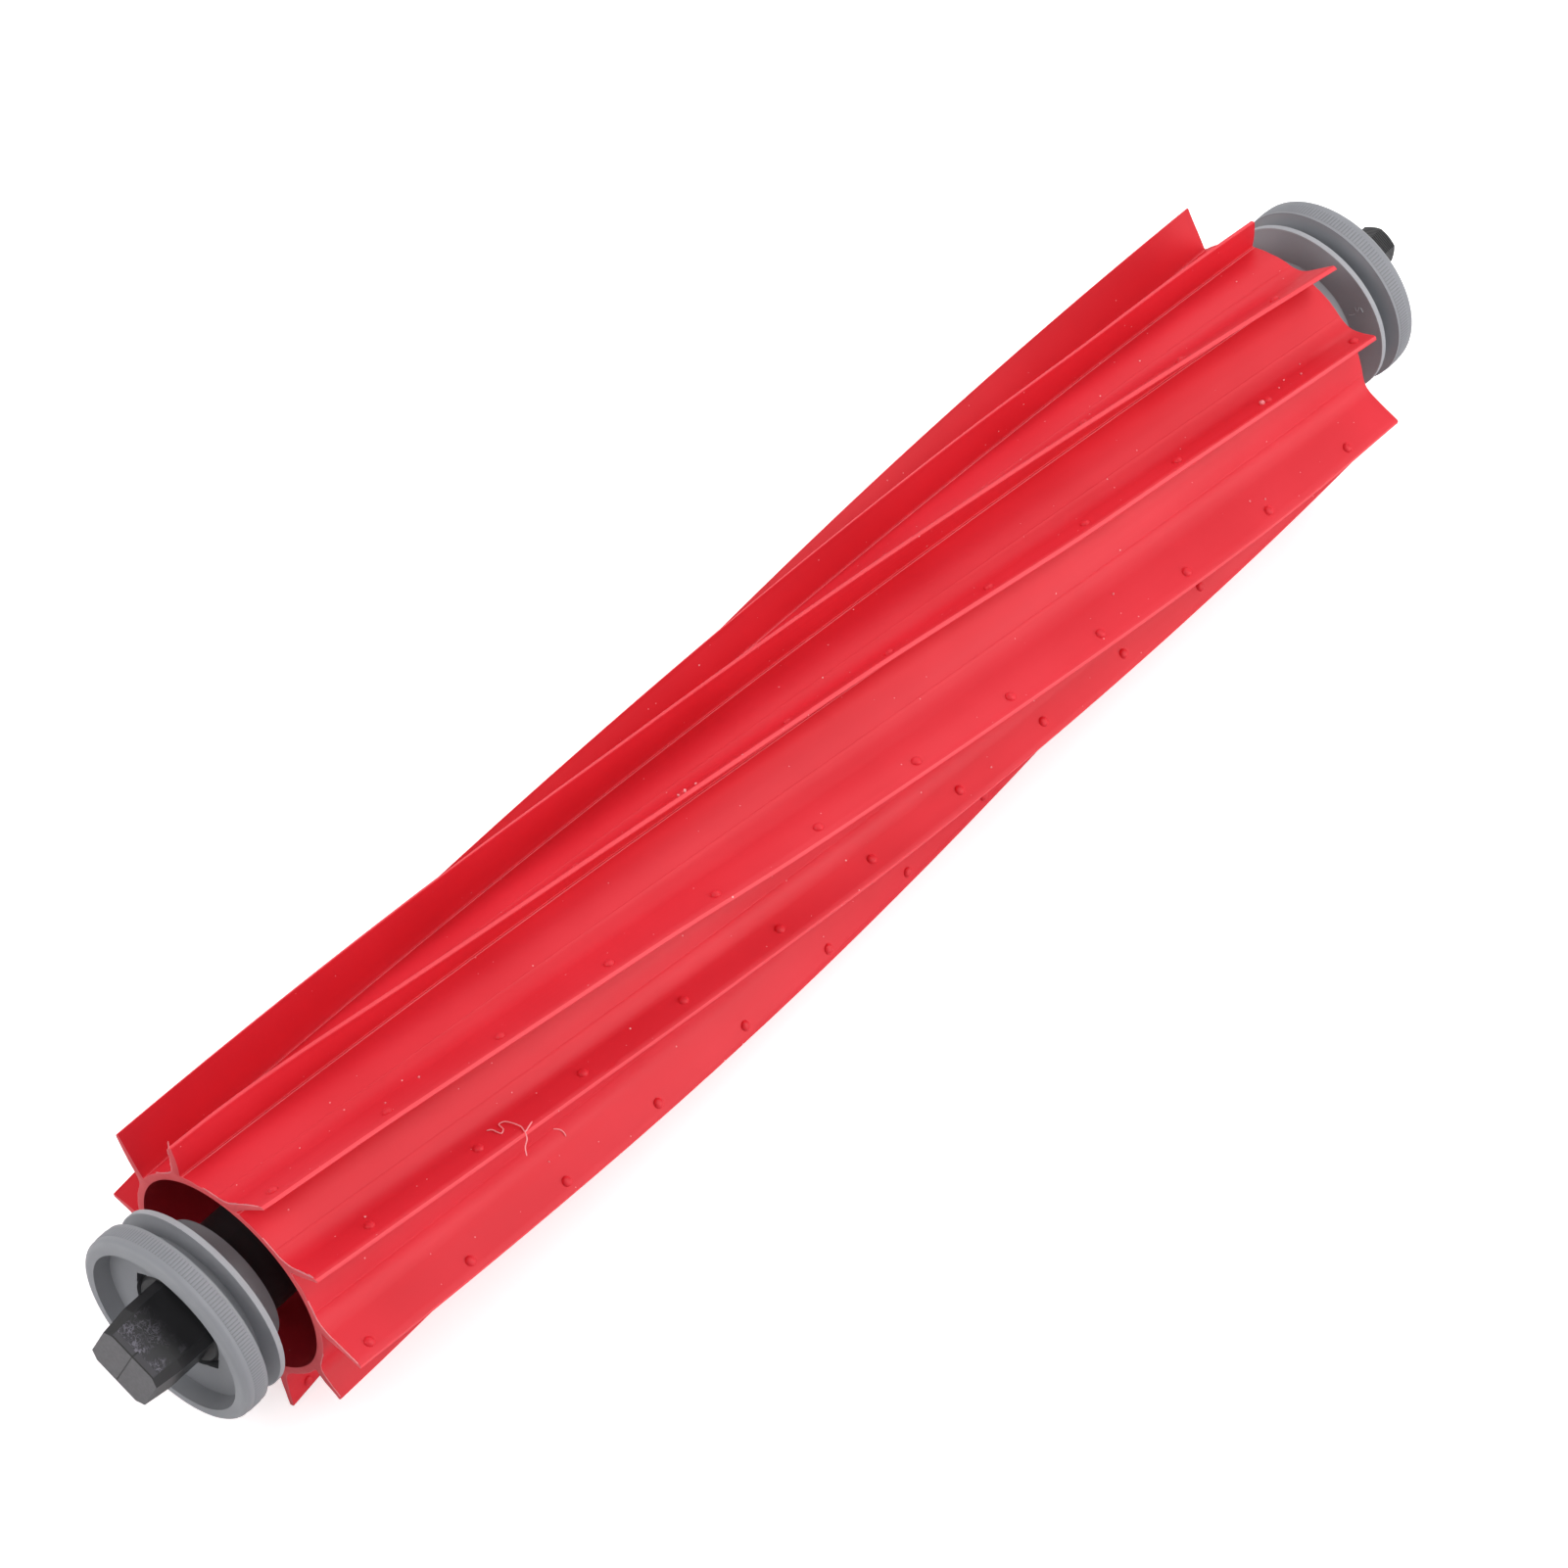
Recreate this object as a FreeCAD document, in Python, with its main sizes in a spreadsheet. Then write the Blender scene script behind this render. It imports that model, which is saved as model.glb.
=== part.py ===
import FreeCAD, Part
import Sketcher

import math
import os
from types import SimpleNamespace

Vector = FreeCAD.Vector
Rotation = FreeCAD.Rotation

# Roller brush of a robot vacuum: a red rubber sleeve with ten twisted fins on a ribbed
# plastic core, a grey twist-lock cap at each end, a square drive tang at -X and a hexagonal
# idler peg on a small ball bearing at +X. The roller axis is X, the origin is halfway
# between the two ends, and angles round the axis are measured from +Z towards +Y.
# Lengths are in millimetres and angles in degrees.

DIMENSIONS = {
    # Rubber sleeve
    "sleeve_length": 162.0,
    "sleeve_bore_radius": 11.35,
    "sleeve_wall": 0.8,
    "long_fin_radius": 17.15,
    "short_fin_radius": 15.8,
    "fin_count": 10,
    "fin_tip_thickness": 0.55,
    "fin_root_thickness": 1.0,
    "fin_root_shift": 1.7,
    "fin_front_fillet": 3.0,
    "fin_back_fillet": 0.5,
    "fin_twist": 80.5,
    "first_fin_angle": 20.7,
    # Core: journals, shaft, spine and the discs and ribs that carry the sleeve
    "sleeve_clearance": 0.05,
    "journal_radius": 5.3,
    "journal_chamfer": 0.4,
    "shaft_radius": 5.45,
    "spine_radius": 3.2,
    "disc_inset": 8.6,
    "disc_thickness": 1.6,
    "disc_count": 8,
    "rib_thickness": 1.8,
    # Square drive tang
    "tang_reach": 14.15,
    "tang_width": 7.9,
    "tang_end_width": 7.2,
    "tang_corner_chamfer": 0.95,
    "tang_lead_length": 3.0,
    "tang_angle": 23.3,
    # End caps, measured outwards from the sleeve's mouth
    "cap_clearance": 0.06,
    "idler_cap_offset": 2.3,
    "hub_start": 0.76,
    "hub_radius": 7.2,
    "flange_root": 2.2,
    "flange_edge": 3.4,
    "flange_edge_thickness": 0.6,
    "flange_step": 0.3,
    "groove_depth": 2.28,
    "groove_taper": 0.4,
    "rim_start": 6.0,
    "rim_radius": 10.78,
    "rim_end": 8.85,
    "rim_round": 0.75,
    "cup_floor": 7.0,
    "lip_width": 1.48,
    "cup_draft": 0.3,
    # Twist lock between cap and core
    "lock_turn": 30.0,
    "slot_angle": 57.2,
    "slot_point_radius": 5.95,
    "slot_half_width": 1.6,
    "lug_point_radius": 5.75,
    "lug_half_width": 1.2,
    "lug_start": 3.7,
    "lug_length": 1.6,
    "lock_play": 0.1,
    # Idler bearing, axle and peg
    "peg_reach": 19.5,
    "peg_flats": 4.1,
    "peg_angle": 32.8,
    "peg_chamfer": 0.45,
    "collar_radius": 2.3,
    "collar_length": 0.8,
    "bearing_recess": 0.8,
    "bearing_bore_radius": 1.0,
    "bearing_radius": 3.0,
    "bearing_width": 3.0,
    "ring_thickness": 0.6,
    "ball_radius": 0.5,
    "ball_count": 7,
    "race_play": 0.03,
    "cage_thickness": 0.4,
    "cage_width": 1.5,
    "cage_play": 0.05,
    "shield_thickness": 0.2,
    "shield_recess": 0.1,
    "shield_seat": 0.15,
    "shield_gap": 0.08,
    "press_clearance": 0.01,
    "axle_in_peg": 7.0,
    "axle_tail": 1.1,
    "clip_chamber_radius": 2.5,
    "clip_chamber_length": 3.0,
    "washer_thickness": 0.3,
    "washer_radius": 1.5,
    "clip_thickness": 0.4,
    "clip_radius": 1.9,
    "clip_groove_radius": 0.75,
    "clip_opening": 1.4,
    "clip_play": 0.03,
}

# Flat facets that stand for the round stretches of the sleeve's twisted section, on the
# fillet and on the valley of a fin's front and of its back: each lies within 0.03 mm of its
# arc, and keeps the long twisted strips simple.
FRONT_FACETS = (4, 1)
BACK_FACETS = (3, 2)

doc = FreeCAD.newDocument("RollerBrush")


class Size:
    """A length or angle: its number, and the sheet formula that it comes from."""

    def __init__(self, number, formula):
        self.number = number
        self.formula = formula

    def __add__(self, other):
        other = as_size(other)
        return Size(self.number + other.number, f"({self.formula} + {other.formula})")

    def __sub__(self, other):
        other = as_size(other)
        return Size(self.number - other.number, f"({self.formula} - {other.formula})")

    def __mul__(self, other):
        other = as_size(other)
        return Size(self.number * other.number, f"({self.formula} * {other.formula})")

    def __truediv__(self, other):
        other = as_size(other)
        return Size(self.number / other.number, f"({self.formula} / {other.formula})")

    def __neg__(self):
        return self * -1


def as_size(value):
    return value if isinstance(value, Size) else Size(float(value), f"({float(value):.9f})")


def make_sheet():
    """Put the driving dimensions in a sheet and give each one back as a Size."""
    sheet = doc.addObject("Spreadsheet::Sheet", "Sizes")
    for row, (alias, number) in enumerate(DIMENSIONS.items(), start=1):
        sheet.set(f"A{row}", alias)
        sheet.set(f"B{row}", str(number))
        sheet.setAlias(f"B{row}", alias)
    doc.recompute()
    sizes = {alias: Size(float(sheet.get(alias)), f"Sizes.{alias}") for alias in DIMENSIONS}
    return SimpleNamespace(**sizes)


s = make_sheet()

# Stations along X
OVERALL = s.tang_reach + s.sleeve_length + s.peg_reach
DRIVE_MOUTH = s.tang_reach - OVERALL / 2
IDLER_MOUTH = DRIVE_MOUTH + s.sleeve_length
BOSS_LENGTH = s.cup_floor - s.lock_play
BOSS_END = IDLER_MOUTH + s.idler_cap_offset + BOSS_LENGTH
BEARING_OUT = BOSS_END - s.bearing_recess
BEARING_IN = BEARING_OUT - s.bearing_width
PEG_START = BEARING_OUT + s.washer_thickness
BALL_PITCH_RADIUS = (s.bearing_bore_radius + s.bearing_radius) / 2


def origin_item(body, role):
    return next(item for item in body.Origin.OriginFeatures if item.Role == role)


def new_body(name):
    body = doc.addObject("PartDesign::Body", name)
    body.Label = name
    return body


def section_sketch(body, name, station=0.0, turn=0.0):
    """A sketch square to the axis at a station, turned about +X: its x is +Y, its y is +Z."""
    sketch = body.newObject("Sketcher::SketchObject", name)
    sketch.AttachmentSupport = [(origin_item(body, "YZ_Plane"), "")]
    sketch.MapMode = "FlatFace"
    station, turn = as_size(station), as_size(turn)
    spin = f"rotation(vector(0; 0; 1); {turn.formula})"
    sketch.setExpression("AttachmentOffset", f"placement(vector(0; 0; {station.formula}); {spin})")
    return sketch


def profile_sketch(body, name, turn=0.0):
    """A sketch in a plane through the axis, turned about +X: its x is +X, its y the radius."""
    sketch = body.newObject("Sketcher::SketchObject", name)
    sketch.AttachmentSupport = [(origin_item(body, "XZ_Plane"), "")]
    sketch.MapMode = "FlatFace"
    turn = as_size(turn)
    spin = f"rotation(vector(1; 0; 0); {turn.formula})"
    sketch.setExpression("AttachmentOffset", f"placement(vector(0; 0; 0); {spin})")
    return sketch


def hold(sketch, kind, size, *where):
    """Add one dimension to a sketch and tie it to the sheet."""
    index = sketch.addConstraint(Sketcher.Constraint(kind, *where, size.number))
    sketch.setExpression(f"Constraints[{index}]", size.formula)


def hold_point(sketch, geometry, point, x, y):
    """Fix one point of a sketch by its two distances from the sketch's origin."""
    for kind, size, axis in (("DistanceX", x, -2), ("DistanceY", y, -1)):
        if abs(size.number) < 1e-9:
            sketch.addConstraint(Sketcher.Constraint("PointOnObject", geometry, point, axis))
        else:
            hold(sketch, kind, size, -1, 1, geometry, point)


def polygon(sketch, points):
    """Draw a closed outline whose corners are all tied to the sheet."""
    corners = [(as_size(x), as_size(y)) for x, y in points]
    places = [Vector(x.number, y.number, 0) for x, y in corners]
    lines = [Part.LineSegment(places[i - 1], places[i]) for i in range(len(places))]
    first = sketch.addGeometry(lines, False)[0]
    for i, (x, y) in enumerate(corners):
        following = first + (i + 1) % len(corners)
        sketch.addConstraint(Sketcher.Constraint("Coincident", first + i, 2, following, 1))
        hold_point(sketch, first + i, 2, x, y)
    return sketch


def circle(sketch, x, y, radius):
    x, y, radius = as_size(x), as_size(y), as_size(radius)
    ring = Part.Circle(Vector(x.number, y.number, 0), Vector(0, 0, 1), radius.number)
    index = sketch.addGeometry(ring, False)
    hold_point(sketch, index, 3, x, y)
    hold(sketch, "Radius", radius, index)
    return sketch


def revolve(body, name, sketch):
    feature = body.newObject("PartDesign::Revolution", name)
    feature.Profile = sketch
    feature.ReferenceAxis = (sketch, ["H_Axis"])
    feature.Angle = 360
    return feature


def groove(body, name, sketch, angle=360.0):
    """Cut a profile round the axis, spread evenly to both sides of its plane."""
    feature = body.newObject("PartDesign::Groove", name)
    feature.Profile = sketch
    feature.ReferenceAxis = (sketch, ["H_Axis"])
    feature.Midplane = True
    feature.setExpression("Angle", as_size(angle).formula)
    return feature


def pad(body, name, sketch, length, backwards=False):
    feature = body.newObject("PartDesign::Pad", name)
    feature.Profile = sketch
    feature.setExpression("Length", as_size(length).formula)
    feature.Reversed = backwards
    return feature


def pocket(body, name, sketch, length):
    """Cut along the sketch's own normal."""
    feature = body.newObject("PartDesign::Pocket", name)
    feature.Profile = sketch
    feature.setExpression("Length", as_size(length).formula)
    feature.Reversed = True
    return feature


def repeat_round(body, name, features, count):
    """Repeat features evenly round the roller axis."""
    pattern = body.newObject("PartDesign::PolarPattern", name)
    pattern.Originals = features
    pattern.Axis = (origin_item(body, "X_Axis"), [""])
    pattern.Angle = 360
    pattern.setExpression("Occurrences", as_size(count).formula)
    body.Tip = pattern
    return pattern


def repeat_along(body, name, features, length, count):
    """Repeat features evenly along the roller axis."""
    pattern = body.newObject("PartDesign::LinearPattern", name)
    pattern.Originals = features
    pattern.Direction = (origin_item(body, "X_Axis"), [""])
    pattern.setExpression("Length", as_size(length).formula)
    pattern.setExpression("Occurrences", as_size(count).formula)
    body.Tip = pattern
    return pattern


def circle_edges(shape, x, radius):
    """Names of the whole circles that lie at a station and have a radius."""
    names = []
    for number, edge in enumerate(shape.Edges, start=1):
        curve = edge.Curve
        if not isinstance(curve, Part.Circle):
            continue
        at_station = abs(curve.Center.x - x.number) < 1e-4
        if at_station and abs(curve.Radius - radius.number) < 1e-4:
            names.append(f"Edge{number}")
    return names


def chamfered_square(sketch, width, chamfer):
    half = width / 2
    flat = half - chamfer
    corners = [(flat, half), (half, flat), (half, -flat), (flat, -half)]
    corners += [(-x, -y) for x, y in corners]
    return polygon(sketch, corners)


def ring(name, start, length, inner, outer):
    """A plain ring round the axis."""
    body = new_body(name)
    end = start + length
    sketch = profile_sketch(body, f"{name}_section")
    polygon(sketch, [(start, inner), (end, inner), (end, outer), (start, outer)])
    revolve(body, f"{name}_turned", sketch)
    return body


def arc_points(centre, start, end, facets):
    """The ends of equal facets on an arc from start to end, without the start itself."""
    spoke = start - centre
    turn = math.atan2(end.y - centre.y, end.x - centre.x) - math.atan2(spoke.y, spoke.x)
    turn = math.remainder(turn, 2 * math.pi)
    axis = Vector(0, 0, 1)
    steps = [math.degrees(turn) * number / facets for number in range(1, facets + 1)]
    return [centre + Rotation(axis, angle).multVec(spoke) for angle in steps]


def half_fin(tip_radius, root_shift, fillet, facets):
    """Half of one fin whose tip is on X, from the tip down to the middle of the valley."""
    root_radius = s.sleeve_bore_radius.number + s.sleeve_wall.number
    tip = Vector(tip_radius.number, s.fin_tip_thickness.number / 2, 0)
    root = Vector(root_radius, s.fin_root_thickness.number / 2 + root_shift, 0)
    inwards = (root - tip).normalize()
    sideways = Vector(inwards.y, -inwards.x, 0)

    # The fillet's centre lies one fillet from the flank and one from the valley's circle.
    base = tip + sideways * fillet
    nearest = -base.dot(inwards)
    half_chord = math.sqrt((root_radius + fillet) ** 2 - base.dot(base) + nearest ** 2)
    centre = base + inwards * (nearest - half_chord)
    flank_end = centre - sideways * fillet
    valley_start = centre * (root_radius / centre.Length)
    middle = math.pi / s.fin_count.number + root_shift / root_radius
    valley_middle = Vector(math.cos(middle), math.sin(middle), 0) * root_radius

    points = [tip, flank_end]
    points += arc_points(centre, flank_end, valley_start, facets[0])
    points += arc_points(Vector(0, 0, 0), valley_start, valley_middle, facets[1])
    return points


def sleeve_outline():
    """The sleeve's outer section in the plane X = 0: short and long fins in turn.

    Each fin's root sits further round than its tip, so that the fin leans back. Its front, on
    the root's side, sweeps out into the valley, and its back meets the valley sharply.
    """
    fins = []
    shift = s.fin_root_shift.number
    for tip_radius in (s.short_fin_radius, s.long_fin_radius):
        front = half_fin(tip_radius, shift, s.fin_front_fillet.number, FRONT_FACETS)
        back = half_fin(tip_radius, -shift, s.fin_back_fillet.number, BACK_FACETS)
        fins.append([Vector(point.x, -point.y, 0) for point in reversed(back[:-1])] + front)
    corners = []
    for number in range(int(s.fin_count.number)):
        turn = Rotation(Vector(0, 0, 1), number * 360 / s.fin_count.number)
        turned = [turn.multVec(point) for point in fins[number % 2]]
        corners += [Vector(0, point.y, point.x) for point in turned]
    return Part.makePolygon(corners + corners[:1])


def make_sleeve():
    """Rubber sleeve: the finned section swept along X while it turns, with a plain bore."""
    length = s.sleeve_length.number
    spine = Part.Wire(Part.LineSegment(Vector(0, 0, 0), Vector(length, 0, 0)).toShape())
    pitch = length * 360 / s.fin_twist.number
    guide = Part.makeHelix(pitch, length, s.long_fin_radius.number)
    guide.Placement = FreeCAD.Placement(Vector(0, 0, 0), Rotation(Vector(0, 1, 0), 90))

    sweep = Part.BRepOffsetAPI.MakePipeShell(spine)
    sweep.setAuxiliarySpine(Part.Wire(guide.Edges), True, 0)
    sweep.add(sleeve_outline(), False, False)
    sweep.build()
    sweep.makeSolid()
    bore = Part.makeCylinder(s.sleeve_bore_radius.number, length, Vector(0, 0, 0), Vector(1, 0, 0))

    sleeve = doc.addObject("Part::Feature", "rubber_sleeve")
    sleeve.Label = "rubber_sleeve"
    sleeve.Shape = sweep.shape().cut(bore)
    turn = Rotation(Vector(1, 0, 0), -s.first_fin_angle.number)
    sleeve.Placement = FreeCAD.Placement(Vector(DRIVE_MOUTH.number, 0, 0), turn)
    return sleeve


def core_outline():
    """Half section of the core's turned form, from the tang's root to the idler boss."""
    drive_boss = DRIVE_MOUTH - BOSS_LENGTH
    drive_shoulder = DRIVE_MOUTH - s.hub_start + s.lock_play
    idler_shoulder = IDLER_MOUTH + s.idler_cap_offset + s.hub_start - s.lock_play
    first_disc = DRIVE_MOUTH + s.disc_inset
    last_disc = IDLER_MOUTH - s.disc_inset
    boss_radius = s.journal_radius - s.journal_chamfer
    return [
        (drive_boss, 0),
        (drive_boss, boss_radius),
        (drive_boss + s.journal_chamfer, s.journal_radius),
        (drive_shoulder, s.journal_radius),
        (drive_shoulder, s.shaft_radius),
        (first_disc, s.shaft_radius),
        (first_disc, s.spine_radius),
        (last_disc, s.spine_radius),
        (last_disc, s.shaft_radius),
        (idler_shoulder, s.shaft_radius),
        (idler_shoulder, s.journal_radius),
        (BOSS_END - s.journal_chamfer, s.journal_radius),
        (BOSS_END, boss_radius),
        (BOSS_END, 0),
    ]


def add_tang(body):
    """Square tang with chamfered corners, straight at its root and tapered at its lead-in."""
    root = DRIVE_MOUTH - BOSS_LENGTH
    taper_start = DRIVE_MOUTH - s.tang_reach + s.tang_lead_length
    tip = DRIVE_MOUTH - s.tang_reach
    root_sketch = section_sketch(body, "tang_root", root, s.tang_angle)
    chamfered_square(root_sketch, s.tang_width, s.tang_corner_chamfer)
    pad(body, "tang_block", root_sketch, root - taper_start, backwards=True)
    wide = section_sketch(body, "tang_taper_start", taper_start, s.tang_angle)
    chamfered_square(wide, s.tang_width, s.tang_corner_chamfer)
    narrow = section_sketch(body, "tang_tip", tip, s.tang_angle)
    chamfered_square(narrow, s.tang_end_width, s.tang_corner_chamfer)
    lead = body.newObject("PartDesign::AdditiveLoft", "tang_lead")
    lead.Profile = wide
    lead.Sections = [narrow]
    lead.Ruled = True


def add_lugs(body, end, start, angle):
    """Two opposite pointed lugs on a journal, which lock the cap."""
    base = s.journal_radius - s.lock_play
    sketch = section_sketch(body, f"{end}_lug_section", start, -angle)
    polygon(sketch, [(-s.lug_half_width, base), (s.lug_half_width, base), (0, s.lug_point_radius)])
    lug = pad(body, f"{end}_lug", sketch, s.lug_length)
    repeat_round(body, f"{end}_lugs", [lug], 2)


def make_core():
    """Core moulding with tang, journals, lugs, discs, ribs and the idler bearing's seat."""
    body = new_body("roller_core")
    revolve(body, "core_turned", polygon(profile_sketch(body, "core_section"), core_outline()))

    crest = s.sleeve_bore_radius - s.sleeve_clearance
    first = DRIVE_MOUTH + s.disc_inset
    ribbed_length = s.sleeve_length - s.disc_inset * 2
    disc_circle = circle(section_sketch(body, "disc_circle", first), 0, 0, crest)
    disc = pad(body, "disc", disc_circle, s.disc_thickness)
    repeat_along(body, "discs", [disc], ribbed_length - s.disc_thickness, s.disc_count)

    half = s.rib_thickness / 2
    rib_crest = crest - half * half / crest
    sketch = section_sketch(body, "rib_pair_section", first)
    polygon(sketch, [(-half, -rib_crest), (half, -rib_crest), (half, rib_crest), (-half, rib_crest)])
    ribs = pad(body, "rib_pair", sketch, ribbed_length)
    repeat_round(body, "ribs", [ribs], 4)

    add_tang(body)
    drive_lug_start = DRIVE_MOUTH - s.lug_start - s.lug_length
    idler_lug_start = IDLER_MOUTH + s.idler_cap_offset + s.lug_start
    add_lugs(body, "drive", drive_lug_start, s.slot_angle + s.lock_turn)
    add_lugs(body, "idler", idler_lug_start, s.slot_angle - s.lock_turn)

    seat = s.bearing_radius + s.press_clearance
    chamber_start = BEARING_IN - s.clip_chamber_length
    sketch = profile_sketch(body, "bearing_seat_section")
    polygon(sketch, [
        (chamber_start, 0),
        (chamber_start, s.clip_chamber_radius),
        (BEARING_IN, s.clip_chamber_radius),
        (BEARING_IN, seat),
        (BOSS_END + s.journal_chamfer, seat),
        (BOSS_END + s.journal_chamfer, 0),
    ])
    groove(body, "bearing_seat", sketch)
    return body


def make_cap(name, placement):
    """End cap: hub, dished flange, groove, rim and cup, drawn outwards from the mouth."""
    body = new_body(name)
    bore = s.journal_radius + s.cap_clearance
    flange_back = s.flange_edge + s.flange_edge_thickness
    flange_radius = s.rim_radius - s.flange_step
    groove_radius = flange_radius - s.groove_depth
    cup_radius = s.rim_radius - s.lip_width
    sketch = profile_sketch(body, f"{name}_section")
    polygon(sketch, [
        (s.hub_start, bore),
        (s.hub_start, s.hub_radius),
        (s.flange_root, s.hub_radius),
        (s.flange_edge, flange_radius),
        (flange_back, flange_radius),
        (flange_back + s.groove_taper, groove_radius),
        (s.rim_start - s.groove_taper, groove_radius),
        (s.rim_start, s.rim_radius),
        (s.rim_end, s.rim_radius),
        (s.rim_end, cup_radius),
        (s.cup_floor, cup_radius - s.cup_draft),
        (s.cup_floor, bore),
    ])
    turned = revolve(body, f"{name}_turned", sketch)
    doc.recompute()

    rounded = body.newObject("PartDesign::Fillet", f"{name}_rim_round")
    rounded.Base = (turned, circle_edges(turned.Shape, s.rim_end, s.rim_radius))
    rounded.setExpression("Radius", s.rim_round.formula)

    inside = s.journal_radius - s.lock_play
    slot_sketch = section_sketch(body, f"{name}_slot_section")
    slot_corners = [(-s.slot_half_width, inside), (s.slot_half_width, inside), (0, s.slot_point_radius)]
    slot = pocket(body, f"{name}_slot", polygon(slot_sketch, slot_corners), s.rim_end)

    # The lug's track runs from the slot to the locked place, a lug's width past it.
    lug_spread = s.slot_half_width / s.journal_radius * math.degrees(1)
    track_start = s.lug_start - s.lock_play
    track_end = s.lug_start + s.lug_length + s.lock_play
    track_sketch = profile_sketch(body, f"{name}_track_section", s.lock_turn / 2)
    polygon(track_sketch, [
        (track_start, inside),
        (track_end, inside),
        (track_end, s.slot_point_radius),
        (track_start, s.slot_point_radius),
    ])
    track = groove(body, f"{name}_track", track_sketch, s.lock_turn + lug_spread * 2)
    repeat_round(body, f"{name}_lock", [slot, track], 2)
    body.setExpression("Placement", placement)
    return body


def make_caps():
    """The same cap twice, each with its slots one lock turn away from the core's lugs."""
    spin = f"rotation(vector(1; 0; 0); {(-s.slot_angle).formula})"
    facing = "rotation(vector(0; 0; 1); 180)"
    idler_mouth = (IDLER_MOUTH + s.idler_cap_offset).formula
    drive = f"placement(vector({DRIVE_MOUTH.formula}; 0; 0); {spin} * {facing})"
    idler = f"placement(vector({idler_mouth}; 0; 0); {spin})"
    return [make_cap("drive_end_cap", drive), make_cap("idler_end_cap", idler)]


def make_bearing_rings():
    """Outer and inner ring of the idler bearing, each with its ball race."""
    middle = BEARING_IN + s.bearing_width / 2
    race = s.ball_radius + s.race_play
    outer_bore = s.bearing_radius - s.ring_thickness
    outer = ring("bearing_outer_ring", BEARING_IN, s.bearing_width, outer_bore, s.bearing_radius)
    race_sketch = circle(profile_sketch(outer, "outer_race_section"), middle, BALL_PITCH_RADIUS, race)
    groove(outer, "outer_race", race_sketch)
    seat_radius = outer_bore + s.shield_seat
    seat_depth = s.shield_recess + s.shield_thickness
    for side, start in (("inboard", BEARING_IN), ("outboard", BEARING_OUT - seat_depth)):
        end = start + seat_depth
        sketch = profile_sketch(outer, f"{side}_shield_seat_section")
        polygon(sketch, [
            (start, BALL_PITCH_RADIUS),
            (end, BALL_PITCH_RADIUS),
            (end, seat_radius),
            (start, seat_radius),
        ])
        groove(outer, f"{side}_shield_seat", sketch)

    inner_radius = s.bearing_bore_radius + s.ring_thickness
    inner = ring("bearing_inner_ring", BEARING_IN, s.bearing_width, s.bearing_bore_radius, inner_radius)
    race_sketch = circle(profile_sketch(inner, "inner_race_section"), middle, BALL_PITCH_RADIUS, race)
    groove(inner, "inner_race", race_sketch)
    return [outer, inner]


def make_shields():
    """Two thin shields seated in the outer ring, just clear of the inner ring."""
    inner = s.bearing_bore_radius + s.ring_thickness + s.shield_gap
    outer = s.bearing_radius - s.ring_thickness + s.shield_seat - s.press_clearance
    inboard = BEARING_IN + s.shield_recess
    outboard = BEARING_OUT - s.shield_recess - s.shield_thickness
    return [
        ring("bearing_shield_inboard", inboard, s.shield_thickness, inner, outer),
        ring("bearing_shield_outboard", outboard, s.shield_thickness, inner, outer),
    ]


def make_cage():
    """Ball cage: a thin ring with one round pocket for each ball."""
    middle = BEARING_IN + s.bearing_width / 2
    inner = BALL_PITCH_RADIUS - s.cage_thickness / 2
    cage = ring("ball_cage", middle - s.cage_width / 2, s.cage_width, inner, inner + s.cage_thickness)
    sketch = cage.newObject("Sketcher::SketchObject", "cage_pocket_circle")
    sketch.AttachmentSupport = [(origin_item(cage, "XY_Plane"), "")]
    sketch.MapMode = "FlatFace"
    circle(sketch, middle, 0, s.ball_radius + s.cage_play)
    hole = pocket(cage, "cage_pocket", sketch, s.bearing_radius)
    repeat_round(cage, "cage_pockets", [hole], s.ball_count)
    return cage


def make_balls():
    """The bearing's balls, evenly spaced in the cage."""
    middle = BEARING_IN + s.bearing_width / 2
    balls = []
    for number in range(int(s.ball_count.number)):
        ball = doc.addObject("Part::Sphere", f"bearing_ball_{number + 1}")
        ball.setExpression("Radius", s.ball_radius.formula)
        angle = f"{number} * 360 / Sizes.ball_count"
        y = f"{BALL_PITCH_RADIUS.formula} * sin({angle})"
        z = f"{BALL_PITCH_RADIUS.formula} * cos({angle})"
        spot = f"vector({middle.formula}; {y}; {z})"
        ball.setExpression("Placement", f"placement({spot}; rotation(vector(0; 0; 1); 0))")
        balls.append(ball)
    return balls


def make_axle():
    """Steel axle with a clip groove near its inboard end."""
    radius = s.bearing_bore_radius - s.press_clearance
    groove_end = BEARING_IN
    groove_start = groove_end - s.clip_thickness - s.clip_play
    axle_start = groove_start - s.axle_tail
    axle_end = PEG_START + s.axle_in_peg
    body = new_body("idler_axle")
    sketch = profile_sketch(body, "axle_section")
    polygon(sketch, [
        (axle_start, 0),
        (axle_start, radius),
        (groove_start, radius),
        (groove_start, s.clip_groove_radius),
        (groove_end, s.clip_groove_radius),
        (groove_end, radius),
        (axle_end, radius),
        (axle_end, 0),
    ])
    revolve(body, "axle_turned", sketch)
    return body


def make_washer():
    """Thrust washer between the bearing's inner ring and the peg."""
    bore = s.bearing_bore_radius + s.clip_play
    return ring("thrust_washer", BEARING_OUT, s.washer_thickness, bore, s.washer_radius)


def make_clip():
    """Open retaining clip in the axle's groove, against the bearing's inner ring."""
    start = BEARING_IN - s.clip_thickness
    bore = s.clip_groove_radius + s.press_clearance
    clip = ring("retaining_clip", start, s.clip_thickness, bore, s.clip_radius)
    half = s.clip_opening / 2
    sketch = section_sketch(clip, "clip_opening_section", start)
    polygon(sketch, [(-half, 0), (half, 0), (half, s.clip_radius), (-half, s.clip_radius)])
    pocket(clip, "clip_mouth", sketch, s.clip_thickness)
    return clip


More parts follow.
